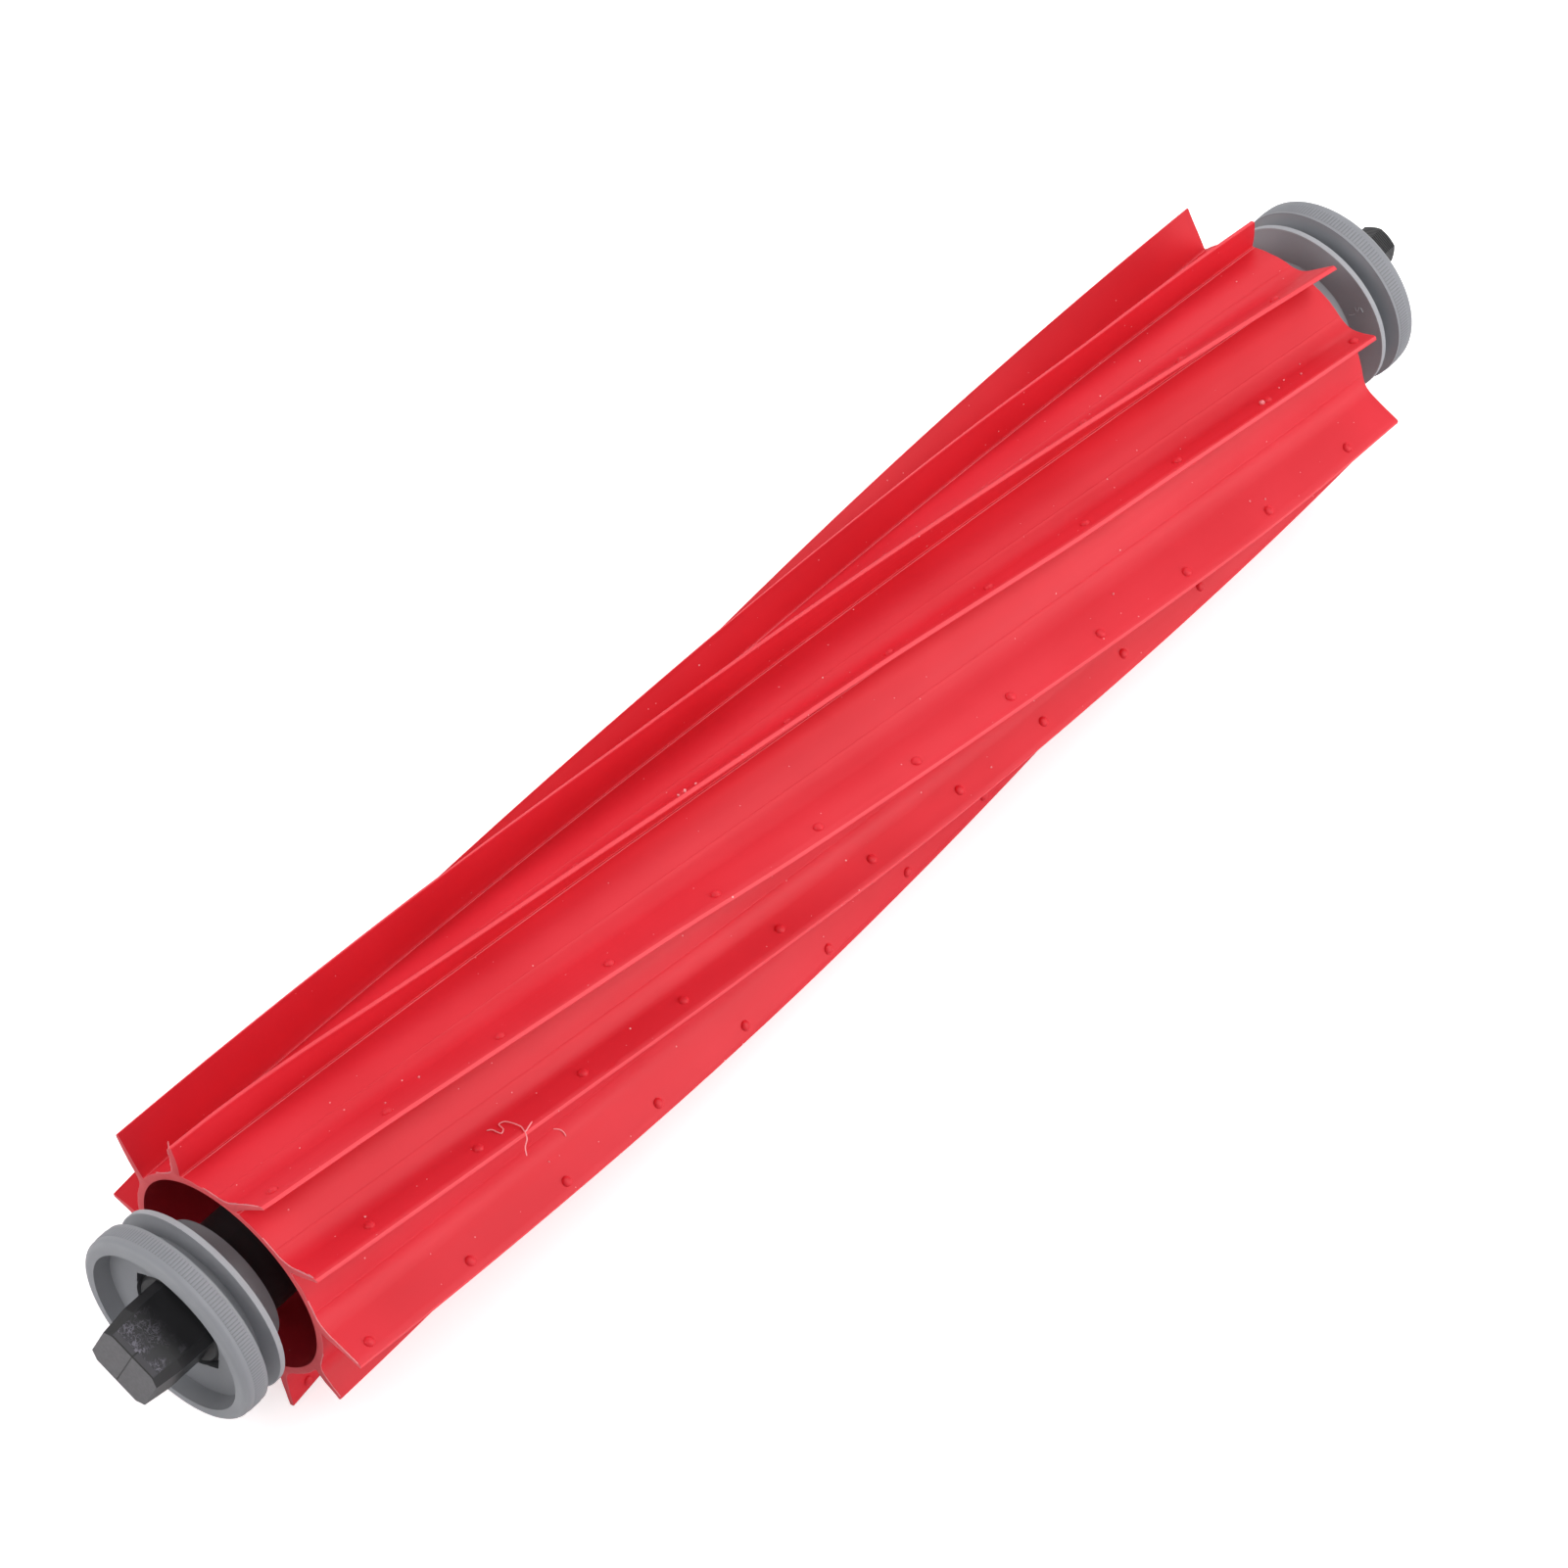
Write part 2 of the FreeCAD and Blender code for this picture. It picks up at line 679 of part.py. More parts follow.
def make_peg():
    """Hexagonal idler peg with a round collar and a blind hole for the axle."""
    body = new_body("idler_peg")
    peg_end = IDLER_MOUTH + s.peg_reach
    collar_end = PEG_START + s.collar_length
    collar_sketch = circle(section_sketch(body, "collar_circle", PEG_START), 0, 0, s.collar_radius)
    pad(body, "collar", collar_sketch, s.collar_length)
    corner_radius = s.peg_flats / math.sqrt(3)
    corner_angles = [math.radians(30 + 60 * number) for number in range(6)]
    corners = [(corner_radius * math.sin(a), corner_radius * math.cos(a)) for a in corner_angles]
    hexagon = polygon(section_sketch(body, "hexagon", collar_end, s.peg_angle), corners)
    pad(body, "hexagon_length", hexagon, peg_end - collar_end)

    # The end is turned to a cone, so the six corners are cut back more than the flats.
    lead = profile_sketch(body, "lead_in_section")
    polygon(lead, [
        (peg_end - s.peg_chamfer, corner_radius),
        (peg_end, corner_radius - s.peg_chamfer * 2),
        (peg_end + s.peg_chamfer, corner_radius - s.peg_chamfer * 2),
        (peg_end + s.peg_chamfer, corner_radius + s.peg_chamfer),
        (peg_end - s.peg_chamfer, corner_radius + s.peg_chamfer),
    ])
    groove(body, "lead_in", lead)
    hole = circle(section_sketch(body, "axle_hole_circle", PEG_START), 0, 0, s.bearing_bore_radius)
    pocket(body, "axle_hole", hole, s.axle_in_peg)
    return body


def check(parts):
    """Stop if any object failed or any sub-part has no sound shape."""
    for item in doc.Objects:
        if "Invalid" in item.State or "Error" in item.State:
            raise RuntimeError(f"{item.Label} failed: {item.State}")
    for item in parts:
        if item.Shape.isNull() or not item.Shape.isValid():
            raise RuntimeError(f"{item.Label} has no valid shape")


def main():
    parts = [make_sleeve(), make_core(), *make_caps()]
    parts += [make_peg(), make_axle(), make_washer(), make_clip()]
    parts += [*make_bearing_rings(), *make_shields(), make_cage(), *make_balls()]
    doc.recompute()
    check(parts)
    os.makedirs("parts", exist_ok=True)
    for item in parts:
        item.Shape.exportStep(f"parts/{item.Label}.step")
        box = item.Shape.BoundBox
        print(f"{item.Label}: {item.Shape.Volume:.3f} mm3, X {box.XMin:.2f} to {box.XMax:.2f}")


main()
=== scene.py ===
import math
import random

import bpy
import numpy as np
from mathutils import Matrix, Vector
from mathutils.geometry import tessellate_polygon


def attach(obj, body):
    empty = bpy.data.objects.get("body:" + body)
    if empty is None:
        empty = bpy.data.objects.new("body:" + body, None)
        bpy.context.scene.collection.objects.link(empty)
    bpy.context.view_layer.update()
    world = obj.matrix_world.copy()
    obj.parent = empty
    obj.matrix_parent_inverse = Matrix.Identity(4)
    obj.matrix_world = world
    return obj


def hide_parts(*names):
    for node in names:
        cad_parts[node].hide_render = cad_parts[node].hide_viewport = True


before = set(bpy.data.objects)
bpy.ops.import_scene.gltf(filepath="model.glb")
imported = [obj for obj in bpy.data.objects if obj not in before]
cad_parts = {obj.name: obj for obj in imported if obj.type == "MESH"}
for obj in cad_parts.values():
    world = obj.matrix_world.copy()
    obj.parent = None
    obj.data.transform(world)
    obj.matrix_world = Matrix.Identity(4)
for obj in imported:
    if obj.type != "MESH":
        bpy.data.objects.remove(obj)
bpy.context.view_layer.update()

# The roller's axis is X, and angles round it are in degrees from +Z towards +Y. Sizes are in
# millimetres here and become metres where a mesh is made.
MM = 0.001

DRIVE_MOUTH = -83.675
SLEEVE_LENGTH = 162.0
IDLER_MOUTH = DRIVE_MOUTH + SLEEVE_LENGTH
BORE_RADIUS = 11.35
ROOT_RADIUS = 12.15
TIP_THICKNESS = 0.55
ROOT_THICKNESS = 1.0
ROOT_SHIFT = 1.7
FRONT_FILLET = 3.0
BACK_FILLET = 0.15
FIN_COUNT = 10
FIN_TWIST = 80.5
FIRST_FIN = 20.7


# Mesh helpers
def new_mesh(name, vertices, faces, material_indices=None):
    """An object from points in millimetres."""
    mesh = bpy.data.meshes.new(name)
    mesh.from_pydata([tuple(c * MM for c in v) for v in vertices], [], faces)
    if material_indices is not None:
        mesh.polygons.foreach_set("material_index", material_indices)
    mesh.update()
    thing = bpy.data.objects.new(name, mesh)
    bpy.context.scene.collection.objects.link(thing)
    return thing


def add_uvs(thing, uvs):
    """A UV map from one pair for each corner of each face."""
    layer = thing.data.uv_layers.new(name="UVMap")
    layer.data.foreach_set("uv", [c for uv in uvs for c in uv])


def shade(thing, angle):
    """Smooth shading, with edges sharper than the angle kept sharp."""
    mesh = thing.data
    mesh.polygons.foreach_set("use_smooth", [True] * len(mesh.polygons))
    mesh.set_sharp_from_angle(angle=math.radians(angle))


def around(x, radius, angle):
    """The point at an angle round the roller's axis."""
    return (x, radius * math.sin(math.radians(angle)), radius * math.cos(math.radians(angle)))


# Shader helpers
def material(name):
    """A new material with its nodes and links."""
    made = bpy.data.materials.new(name)
    made.use_nodes = True
    return made, made.node_tree.nodes, made.node_tree.links


def node(nodes, kind, settings=(), **inputs):
    """A shader node with attributes and unlinked inputs set. An underscore in an input's name
    stands for a space."""
    made = nodes.new(kind)
    for key, value in dict(settings).items():
        setattr(made, key, value)
    for key, value in inputs.items():
        made.inputs[key.replace("_", " ")].default_value = value
    return made


def map_range(nodes, links, source, **limits):
    """Source stretched from one range to another. A limit that isn't given is 0 or 1."""
    made = node(nodes, "ShaderNodeMapRange", **limits)
    links.new(source, made.inputs["Value"])
    return made.outputs["Result"]


def ramp(nodes, links, source, low, high):
    """Source stretched so that low becomes 0 and high becomes 1."""
    return map_range(nodes, links, source, From_Min=low, From_Max=high)


def ramp_between(nodes, links, source, low, high):
    """Source from 0..1 stretched to low..high."""
    return map_range(nodes, links, source, To_Min=low, To_Max=high)


MIX_COLOUR_INPUTS = 6, 7
MIX_COLOUR_OUTPUT = 2


def blend_colours(nodes, links, factor, first, second):
    """Mix of two colours, each a tuple or a socket."""
    made = node(nodes, "ShaderNodeMix", {"data_type": "RGBA"})
    links.new(factor, made.inputs[0])
    for index, colour in zip(MIX_COLOUR_INPUTS, (first, second)):
        if isinstance(colour, tuple):
            made.inputs[index].default_value = (*colour, 1)
        else:
            links.new(colour, made.inputs[index])
    return made.outputs[MIX_COLOUR_OUTPUT]


def noise(nodes, links, vector, scale, detail=3.0, roughness=0.5):
    """Soft noise between 0 and 1, with its scale in waves per unit of the vector."""
    made = node(nodes, "ShaderNodeTexNoise", Scale=scale, Detail=detail, Roughness=roughness)
    links.new(vector, made.inputs["Vector"])
    return made.outputs["Fac"]


def bump(nodes, links, height, strength, distance, before=None):
    """A normal bent by a height map, on top of another normal if one is given."""
    made = node(nodes, "ShaderNodeBump", Strength=strength, Distance=distance)
    links.new(height, made.inputs["Height"])
    if before is not None:
        links.new(before, made.inputs["Normal"])
    return made.outputs["Normal"]


def calculate(nodes, links, operation, *values):
    """A sum, product and the like of numbers or sockets."""
    made = node(nodes, "ShaderNodeMath", {"operation": operation})
    for index, value in enumerate(values):
        if isinstance(value, (int, float)):
            made.inputs[index].default_value = value
        else:
            links.new(value, made.inputs[index])
    return made.outputs[0]


def product(nodes, links, first, *others):
    """Sockets multiplied with one another: of masks, what all of them have in common."""
    for other in others:
        first = calculate(nodes, links, "MULTIPLY", first, other)
    return first


def distance_along(nodes, links, place, direction):
    """How far a place lies along a direction, in millimetres."""
    made = node(nodes, "ShaderNodeVectorMath", {"operation": "DOT_PRODUCT"})
    links.new(place, made.inputs[0])
    made.inputs[1].default_value = [c / MM for c in direction]
    return made.outputs["Value"]


def within(nodes, links, value, low, high, soft=0.02):
    """1 where the value lies between low and high, and 0 outside, fading over soft."""
    rise = ramp(nodes, links, value, low - soft, low)
    fall = ramp(nodes, links, value, high + soft, high)
    return product(nodes, links, rise, fall)


# How soft the choice of cells is, and a speck's least radius as a share of the greatest.
CHOICE_FADE = 0.01
LEAST_SPECK = 0.375


def specks(nodes, links, vector, scale, size, share):
    """1 on small round spots of different sizes, one in each of a share of the cells, and 0
    elsewhere. The scale is in cells per metre and the size in cells."""
    cells = node(nodes, "ShaderNodeTexVoronoi", Scale=scale, Randomness=1.0)
    links.new(vector, cells.inputs["Vector"])
    split = node(nodes, "ShaderNodeSeparateColor")
    links.new(cells.outputs["Color"], split.inputs["Color"])
    chosen = ramp(nodes, links, split.outputs["Red"], 1 - share, 1 - share + CHOICE_FADE)
    radius = ramp_between(nodes, links, split.outputs["Green"], LEAST_SPECK, 1.0)
    limit = product(nodes, links, radius, size)
    near = calculate(nodes, links, "LESS_THAN", cells.outputs["Distance"], limit)
    return product(nodes, links, near, chosen)


# Materials
# Dust as (cells per metre, speck size in cells, share of the cells that have one, colour).
RUBBER_DUST = (
    (640.0, 0.060, 0.9, (0.86, 0.26, 0.28)),
    (330.0, 0.034, 0.9, (0.90, 0.58, 0.57)),
)
PLASTIC_DUST = (420.0, 0.08, 0.05, (0.75, 0.75, 0.77))
# The noise values where a patch has wholly its deep colour and wholly its plain one.
PATCHY = 0.3, 0.7
# Noise scales: RUBBER_LINES in waves per way round the sleeve's section, the others in waves
# per metre. Three numbers stretch the noise into lines along the fins or round metal.
RUBBER_LINES = 3.0, 260.0, 1.0
RUBBER_PATCHES = 70.0
RUBBER_GRAIN = 3800.0
RUBBER_SHINE = 0.32
PLASTIC_PATCHES = 180.0
PLASTIC_GRAIN = 2600.0
METAL_LINES = 9000.0, 900.0, 900.0
# How far the roughness goes up and down from its middle, with the lines or the grain.
RUBBER_SPREAD, PLASTIC_SPREAD, METAL_SPREAD = 0.06, 0.06, 0.08


def add_dust(nodes, links, place, colour, scale, size, share, tint):
    """The colour with specks of dust on it."""
    dust = specks(nodes, links, place, scale, size, share)
    return blend_colours(nodes, links, dust, colour, tint)


def stretched(nodes, links, vector, scales):
    """A vector multiplied by three numbers."""
    made = node(nodes, "ShaderNodeMapping")
    made.inputs["Scale"].default_value = scales
    links.new(vector, made.inputs["Vector"])
    return made.outputs["Vector"]


def rubber_material(name, colour, deep, roughness, dusty=True):
    """Moulded red rubber: satin, with fine lines along the fins, a soft grain and dust."""
    made, nodes, links = material(name)
    shader = nodes["Principled BSDF"]
    place = node(nodes, "ShaderNodeTexCoord").outputs["Object"]
    flat = node(nodes, "ShaderNodeUVMap", {"uv_map": "UVMap"}).outputs["UV"]
    lines = noise(nodes, links, stretched(nodes, links, flat, RUBBER_LINES), 1.0, 3.0)
    patches = noise(nodes, links, place, RUBBER_PATCHES, 2.0)
    grain = noise(nodes, links, place, RUBBER_GRAIN, 3.0, 0.6)

    mixed = blend_colours(nodes, links, ramp(nodes, links, patches, *PATCHY), deep, colour)
    if dusty:
        for layer in RUBBER_DUST:
            mixed = add_dust(nodes, links, place, mixed, *layer)
    links.new(mixed, shader.inputs["Base Color"])

    worn = calculate(nodes, links, "MULTIPLY_ADD", lines, 2 * RUBBER_SPREAD,
                     roughness - RUBBER_SPREAD)
    links.new(worn, shader.inputs["Roughness"])
    soft = bump(nodes, links, lines, 0.10, 0.04 * MM)
    links.new(bump(nodes, links, grain, 0.10, 0.03 * MM, soft), shader.inputs["Normal"])
    shader.inputs["Specular IOR Level"].default_value = RUBBER_SHINE
    return made


def plastic_material(name, colour, deep, roughness, dusty=False):
    """Moulded plastic with a fine spark-eroded grain. What a special finish builds on comes
    with the material."""
    made, nodes, links = material(name)
    shader = nodes["Principled BSDF"]
    place = node(nodes, "ShaderNodeTexCoord").outputs["Object"]
    patches = noise(nodes, links, place, PLASTIC_PATCHES, 3.0)
    grain = noise(nodes, links, place, PLASTIC_GRAIN, 4.0, 0.6)
    mixed = blend_colours(nodes, links, ramp(nodes, links, patches, *PATCHY), deep, colour)
    if dusty:
        mixed = add_dust(nodes, links, place, mixed, *PLASTIC_DUST)
    links.new(mixed, shader.inputs["Base Color"])
    worn = ramp_between(nodes, links, grain, roughness - PLASTIC_SPREAD,
                        roughness + PLASTIC_SPREAD)
    links.new(worn, shader.inputs["Roughness"])
    links.new(bump(nodes, links, grain, 0.12, 0.03 * MM), shader.inputs["Normal"])
    return made, nodes, links, place, grain, mixed


def metal_material(name, colour, roughness):
    """Ground metal with fine lines round the axis."""
    made, nodes, links = material(name)
    shader = nodes["Principled BSDF"]
    place = node(nodes, "ShaderNodeTexCoord").outputs["Object"]
    lines = noise(nodes, links, stretched(nodes, links, place, METAL_LINES), 1.0, 2.0)
    shader.inputs["Metallic"].default_value = 1.0
    links.new(blend_colours(nodes, links, lines, tuple(0.86 * c for c in colour), colour),
              shader.inputs["Base Color"])
    worn = ramp_between(nodes, links, lines, roughness - METAL_SPREAD, roughness + METAL_SPREAD)
    links.new(worn, shader.inputs["Roughness"])
    links.new(bump(nodes, links, lines, 0.15, 0.01 * MM), shader.inputs["Normal"])
    return made


def dress(name, finish):
    """Puts a material on a CAD node."""
    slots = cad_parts[name].data.materials
    slots.clear()
    slots.append(finish)


RED = rubber_material("Red rubber", (0.770, 0.024, 0.041), (0.720, 0.018, 0.032), 0.51)
# The paler red of the fins' tip edges is a painted highlight.
RED_TIP_HIGHLIGHT = rubber_material("Fin tips painted highlight", (0.92, 0.068, 0.088), (0.87, 0.058, 0.076), 0.50)
RED_CUT = rubber_material("Cut rubber", (0.82, 0.115, 0.128), (0.75, 0.075, 0.088), 0.60,
                          dusty=False)
# The pale red of the cut ends' edges and of the ridges behind the fins is a painted highlight.
RED_EDGE_HIGHLIGHT = rubber_material("Edge painted highlight", (0.86, 0.150, 0.175), (0.78, 0.090, 0.112), 0.55,
                          dusty=False)
RED_FLASH = rubber_material("Rubber flash", (0.92, 0.380, 0.400), (0.86, 0.200, 0.225), 0.45,
                            dusty=False)


# Rubber sleeve
# Tip radius of each fin, and how far its tip leans round the axis, in degrees, at distances
# from the drive mouth. The fins of the real one sway a little along their length.
FINS = {
    0: (15.8, (0, 2.5), (4, 5.0), (15, 4.1), (26, 1.9), (38, 1.1), (63, 1.1), (76, 1.5),
        (89, 2.2), (116, 1.2), (131, 2.5), (146, 3.2), (162, 4.2)),
    1: (17.1, (0, -2.6), (30, -2.8), (60, -3.6), (90, -1.6), (125, -0.9), (162, -0.7)),
    2: (15.7, (0, 2.4), (40, 1.2), (80, 2.0), (122, 2.3), (136, 0.8), (151, 2.8), (162, 2.5)),
    3: (17.1, (0, 1.0), (40, -1.2), (90, 0.8), (162, -0.2)),
    4: (15.8, (0, -1.5), (50, 0.8), (110, -0.6), (162, 1.0)),
    5: (17.1, (0, 2.8), (40, 1.0), (100, -0.5), (162, 0.6)),
    6: (15.8, (0, 4.4), (25, 2.8), (80, 0.8), (162, -1.0)),
    7: (17.1, (0, 0.0), (30, 0.6), (80, -1.0), (162, 1.0)),
    8: (16.1, (0, 1.6), (9, 2.2), (23, 2.7), (35, 3.3), (62, 2.9), (76, 1.8), (92, 1.2),
        (162, 1.6)),
    9: (17.1, (0, -4.9), (6, -4.1), (15, -3.2), (40, -2.4), (52, -2.0), (65, -3.0),
        (104, -2.8), (140, -3.2), (152, -1.7), (162, 1.4)),
}
# Stations along the sleeve: close together at both ends, and evenly spaced between them.
END_STEPS = (0.0, 0.12, 0.3, 0.6, 1.0, 1.5, 2.2, 3.0)
EVEN_START = 4.4
EVEN_STATIONS = 106
SWAY_BLUR = 4.0
SWAY_STEP = 0.5


def smooth_track(stations, values, xs, blur):
    """Values between the given stations, smoothed over a few millimetres."""
    fine = np.arange(xs[0] - 4 * blur, xs[-1] + 4 * blur, SWAY_STEP)
    track = np.interp(fine, stations, values)
    reach = np.arange(-3 * blur, 3 * blur + SWAY_STEP / 5, SWAY_STEP)
    weight = np.exp(-0.5 * (reach / blur) ** 2)
    padded = np.pad(track, len(reach) // 2, mode="edge")
    soft = np.convolve(padded, weight / weight.sum(), mode="valid")
    return np.interp(xs, fine, soft[: len(fine)])


STATIONS = np.array([
    *END_STEPS,
    *np.linspace(EVEN_START, SLEEVE_LENGTH - EVEN_START, EVEN_STATIONS),
    *(SLEEVE_LENGTH - step for step in reversed(END_STEPS)),
])
LEANS = {
    fin: smooth_track([p[0] for p in leans], [p[1] for p in leans], STATIONS, SWAY_BLUR)
    for fin, (_, *leans) in FINS.items()
}

# What a point of a fin's section belongs to. The ridge is where the mould parts met.
TIP, FLANK, VALLEY, RIDGE = range(4)
TIP_ROUNDING = 0.15
TIP_SAG = 0.02
FLANK_SHARES = (0.2, 0.4, 0.6, 0.8)
RIDGE_PROFILE = ((0.05, 0.6), (0.09, 1.0), (0.14, 0.0))
RIDGE_WIDTH = 0.2
VALLEY_STEPS = 4
FRONT_STEPS, FRONT_RIDGE = 9, 0.025
BACK_STEPS, BACK_RIDGE = 4, 0.06


def half_fin(tip_radius, root_shift, fillet, steps, ridge):
    """Points of half a fin's section along +u, from the tip's middle to the valley's middle,
    as (u, v, part). The fillet has a number of steps, and the ridge a height."""
    tip = np.array([tip_radius, TIP_THICKNESS / 2])
    root = np.array([ROOT_RADIUS, ROOT_THICKNESS / 2 + root_shift])
    inwards = (root - tip) / np.linalg.norm(root - tip)
    sideways = np.array([inwards[1], -inwards[0]])
    base = tip + sideways * fillet
    nearest = -base @ inwards
    chord = math.sqrt((ROOT_RADIUS + fillet) ** 2 - base @ base + nearest ** 2)
    centre = base + inwards * (nearest - chord)
    flank_end = centre - sideways * fillet
    valley_start = centre * (ROOT_RADIUS / np.linalg.norm(centre))

    half_rounding = TIP_ROUNDING / 2
    points = [(tip_radius, 0.0, TIP), (tip_radius, tip[1] - TIP_ROUNDING, TIP)]
    points.append((tip_radius - TIP_SAG, tip[1] - half_rounding, TIP))
    points.append((tip_radius - half_rounding, tip[1] - TIP_SAG, FLANK))
    points.append((*(tip + inwards * TIP_ROUNDING), FLANK))
    for share in FLANK_SHARES:
        points.append((*(tip + (flank_end - tip) * share), FLANK))
    first, last = flank_end - centre, valley_start - centre
    start, end = math.atan2(first[1], first[0]), math.atan2(last[1], last[0])
    sweep = math.remainder(end - start, 2 * math.pi)
    for step in range(steps + 1):
        angle = start + sweep * step / steps
        arm = np.array([math.cos(angle), math.sin(angle)])
        points.append((*(centre + fillet * arm), VALLEY))
    here = math.atan2(valley_start[1], valley_start[0])
    middle = math.pi / FIN_COUNT + root_shift / ROOT_RADIUS
    for distance, height in RIDGE_PROFILE:
        angle, radius = here + distance / ROOT_RADIUS, ROOT_RADIUS + ridge * height
        points.append((radius * math.cos(angle), radius * math.sin(angle), RIDGE))
    here += RIDGE_WIDTH / ROOT_RADIUS
    for step in range(VALLEY_STEPS + 1):
        angle = here + (middle - here) * step / VALLEY_STEPS
        points.append((ROOT_RADIUS * math.cos(angle), ROOT_RADIUS * math.sin(angle), VALLEY))
    return points


def front_half(tip_radius):
    """The half of a fin's section that sweeps out into the valley."""
    return half_fin(tip_radius, ROOT_SHIFT, FRONT_FILLET, FRONT_STEPS, FRONT_RIDGE)


def whole_fin(tip_radius):
    """A fin's section from one valley's middle to the next. Its root sits further round than
    its tip: the front sweeps out into the valley and the back meets it sharply."""
    back = half_fin(tip_radius, -ROOT_SHIFT, BACK_FILLET, BACK_STEPS, BACK_RIDGE)
    return [(u, -v, part) for u, v, part in reversed(back[1:-1])] + front_half(tip_radius)


SECTIONS = [whole_fin(FINS[fin][0]) for fin in range(FIN_COUNT)]
SECTION_POINTS = len(SECTIONS[0])

# A fin is stiff up to this height over the valley, and above it the bend grows by a power.
STIFF_HEIGHT = 0.2
BEND_POWER = 1.35


def lean_share(u, tip_radius):
    """How much of the tip's lean a point at radius u has: none at the root, all at the tip."""
    share = (u - ROOT_RADIUS - STIFF_HEIGHT) / (tip_radius - ROOT_RADIUS - STIFF_HEIGHT)
    return min(1.0, max(0.0, share)) ** BEND_POWER


def fin_point(fin, along, lean, u, v):
    """A point of a fin's section, in millimetres, with the fin leaning over."""
    tip_radius = FINS[fin][0]
    v = v + math.radians(lean) * tip_radius * lean_share(u, tip_radius)
    turn = math.radians(FIRST_FIN + 360 / FIN_COUNT * fin - FIN_TWIST * along / SLEEVE_LENGTH)
    return (
        DRIVE_MOUTH + along,
        u * math.sin(turn) + v * math.cos(turn),
        u * math.cos(turn) - v * math.sin(turn),
    )


def outline(station):
    """The sleeve's outer section at a station, once round."""
    along = STATIONS[station]
    return [fin_point(fin, along, LEANS[fin][station], u, v)
            for fin in range(FIN_COUNT) for u, v, _ in SECTIONS[fin]]


def ragged(points, amount):
    """The loop waving along X by about the amount: a cut end isn't quite flat."""
    moved = []
    for x, y, z in points:
        turn = math.atan2(y, z)
        wave = math.sin(9 * turn + 0.7) + 0.7 * math.sin(23 * turn + 2.1)
        wave += 0.5 * math.sin(61 * turn + math.hypot(y, z) * 3)
        moved.append((x + amount * wave, y, z))
    return moved


def inset(points, distance, shift):
    """The loop moved inwards by a distance and along X by shift."""
    flat = np.array([(p[1], p[2]) for p in points])
    before, after = np.roll(flat, 1, axis=0), np.roll(flat, -1, axis=0)
    tangent = after - before
    tangent /= np.linalg.norm(tangent, axis=1)[:, None]
    normal = np.stack([tangent[:, 1], -tangent[:, 0]], axis=1)
    outward = np.sign(np.sum(normal * flat))
    moved = flat - normal * outward * distance
    return [(p[0] + shift, *q) for p, q in zip(points, moved)]


class Skin:
    """A mesh while it is put together: points, and faces with their materials and UVs."""

    def __init__(self):
        self.vertices, self.faces, self.indices, self.uvs = [], [], [], []

    def add_points(self, points):
        """Adds points and gives the number of the first one."""
        self.vertices += points
        return len(self.vertices) - len(points)

    def add_face(self, face, index, uvs):
        """Adds a face with its material's number and its corners' UVs."""
        self.faces.append(face)
        self.indices.append(index)
        self.uvs += uvs


# The tips' and edges' paler reds are painted highlights.
SLEEVE_FINISHES = (RED, RED_TIP_HIGHLIGHT, RED_CUT, RED_EDGE_HIGHLIGHT)
PLAIN, TIP_HIGHLIGHT, CUT, EDGE_HIGHLIGHT = range(4)
DRIVE_CUT_WAVE, IDLER_CUT_WAVE = -0.035, 0.03
CUT_EDGE_WIDTH, CUT_EDGE_DEPTH = 0.07, 0.035
UV_STATION = 40
UV_SIZE = 60
BORE_SEGMENTS = 120
BORE_STATIONS = (DRIVE_MOUTH, DRIVE_MOUTH + 8, DRIVE_MOUTH + 40, 0, IDLER_MOUTH - 8, IDLER_MOUTH)


def add_outside(skin, loops):
    """The outside between the loops, with UVs that are even round one station's section. It
    gives the numbers of the loops' first points."""
    parts = [part for section in SECTIONS for _, _, part in section]
    count = len(parts)
    starts = [skin.add_points(points) for points in loops]
    arc = [0.0]
    for a, b in zip(loops[UV_STATION], loops[UV_STATION][1:] + loops[UV_STATION][:1]):
        arc.append(arc[-1] + math.dist(a, b))
    whole = arc[-1]
    for station, (low, high) in enumerate(zip(starts, starts[1:])):
        first, last = STATIONS[station] / whole, STATIONS[station + 1] / whole
        for n in range(count):
            m = (n + 1) % count
            behind_fin = n % SECTION_POINTS < SECTION_POINTS / 2
            finish = PLAIN
            # Tip faces get the paler red: a painted highlight.
            if parts[n] == parts[m] == TIP:
                finish = TIP_HIGHLIGHT
            # Ridge faces behind a fin get the pale edge red: a painted highlight.
            elif parts[n] == parts[m] == RIDGE and behind_fin:
                finish = EDGE_HIGHLIGHT
            start, end = arc[n] / whole, arc[n + 1] / whole
            skin.add_face((low + n, high + n, high + m, low + m), finish,
                          [(first, start), (last, start), (last, end), (first, end)])
    return starts


def add_bore(skin):
    """The round inside. It gives the rings and the numbers of their first points."""
    rings = [[around(x, BORE_RADIUS, 360 * n / BORE_SEGMENTS) for n in range(BORE_SEGMENTS)]
             for x in BORE_STATIONS]
    starts = [skin.add_points(ring) for ring in rings]
    bands = len(rings) - 1
    for band, (low, high) in enumerate(zip(starts, starts[1:])):
        first, last = band / bands, (band + 1) / bands
        for n in range(BORE_SEGMENTS):
            m = (n + 1) % BORE_SEGMENTS
            start, end = n / BORE_SEGMENTS, m / BORE_SEGMENTS
            skin.add_face((low + m, high + m, high + n, low + n), PLAIN,
                          [(first, end), (last, end), (last, start), (first, start)])
    return rings, starts


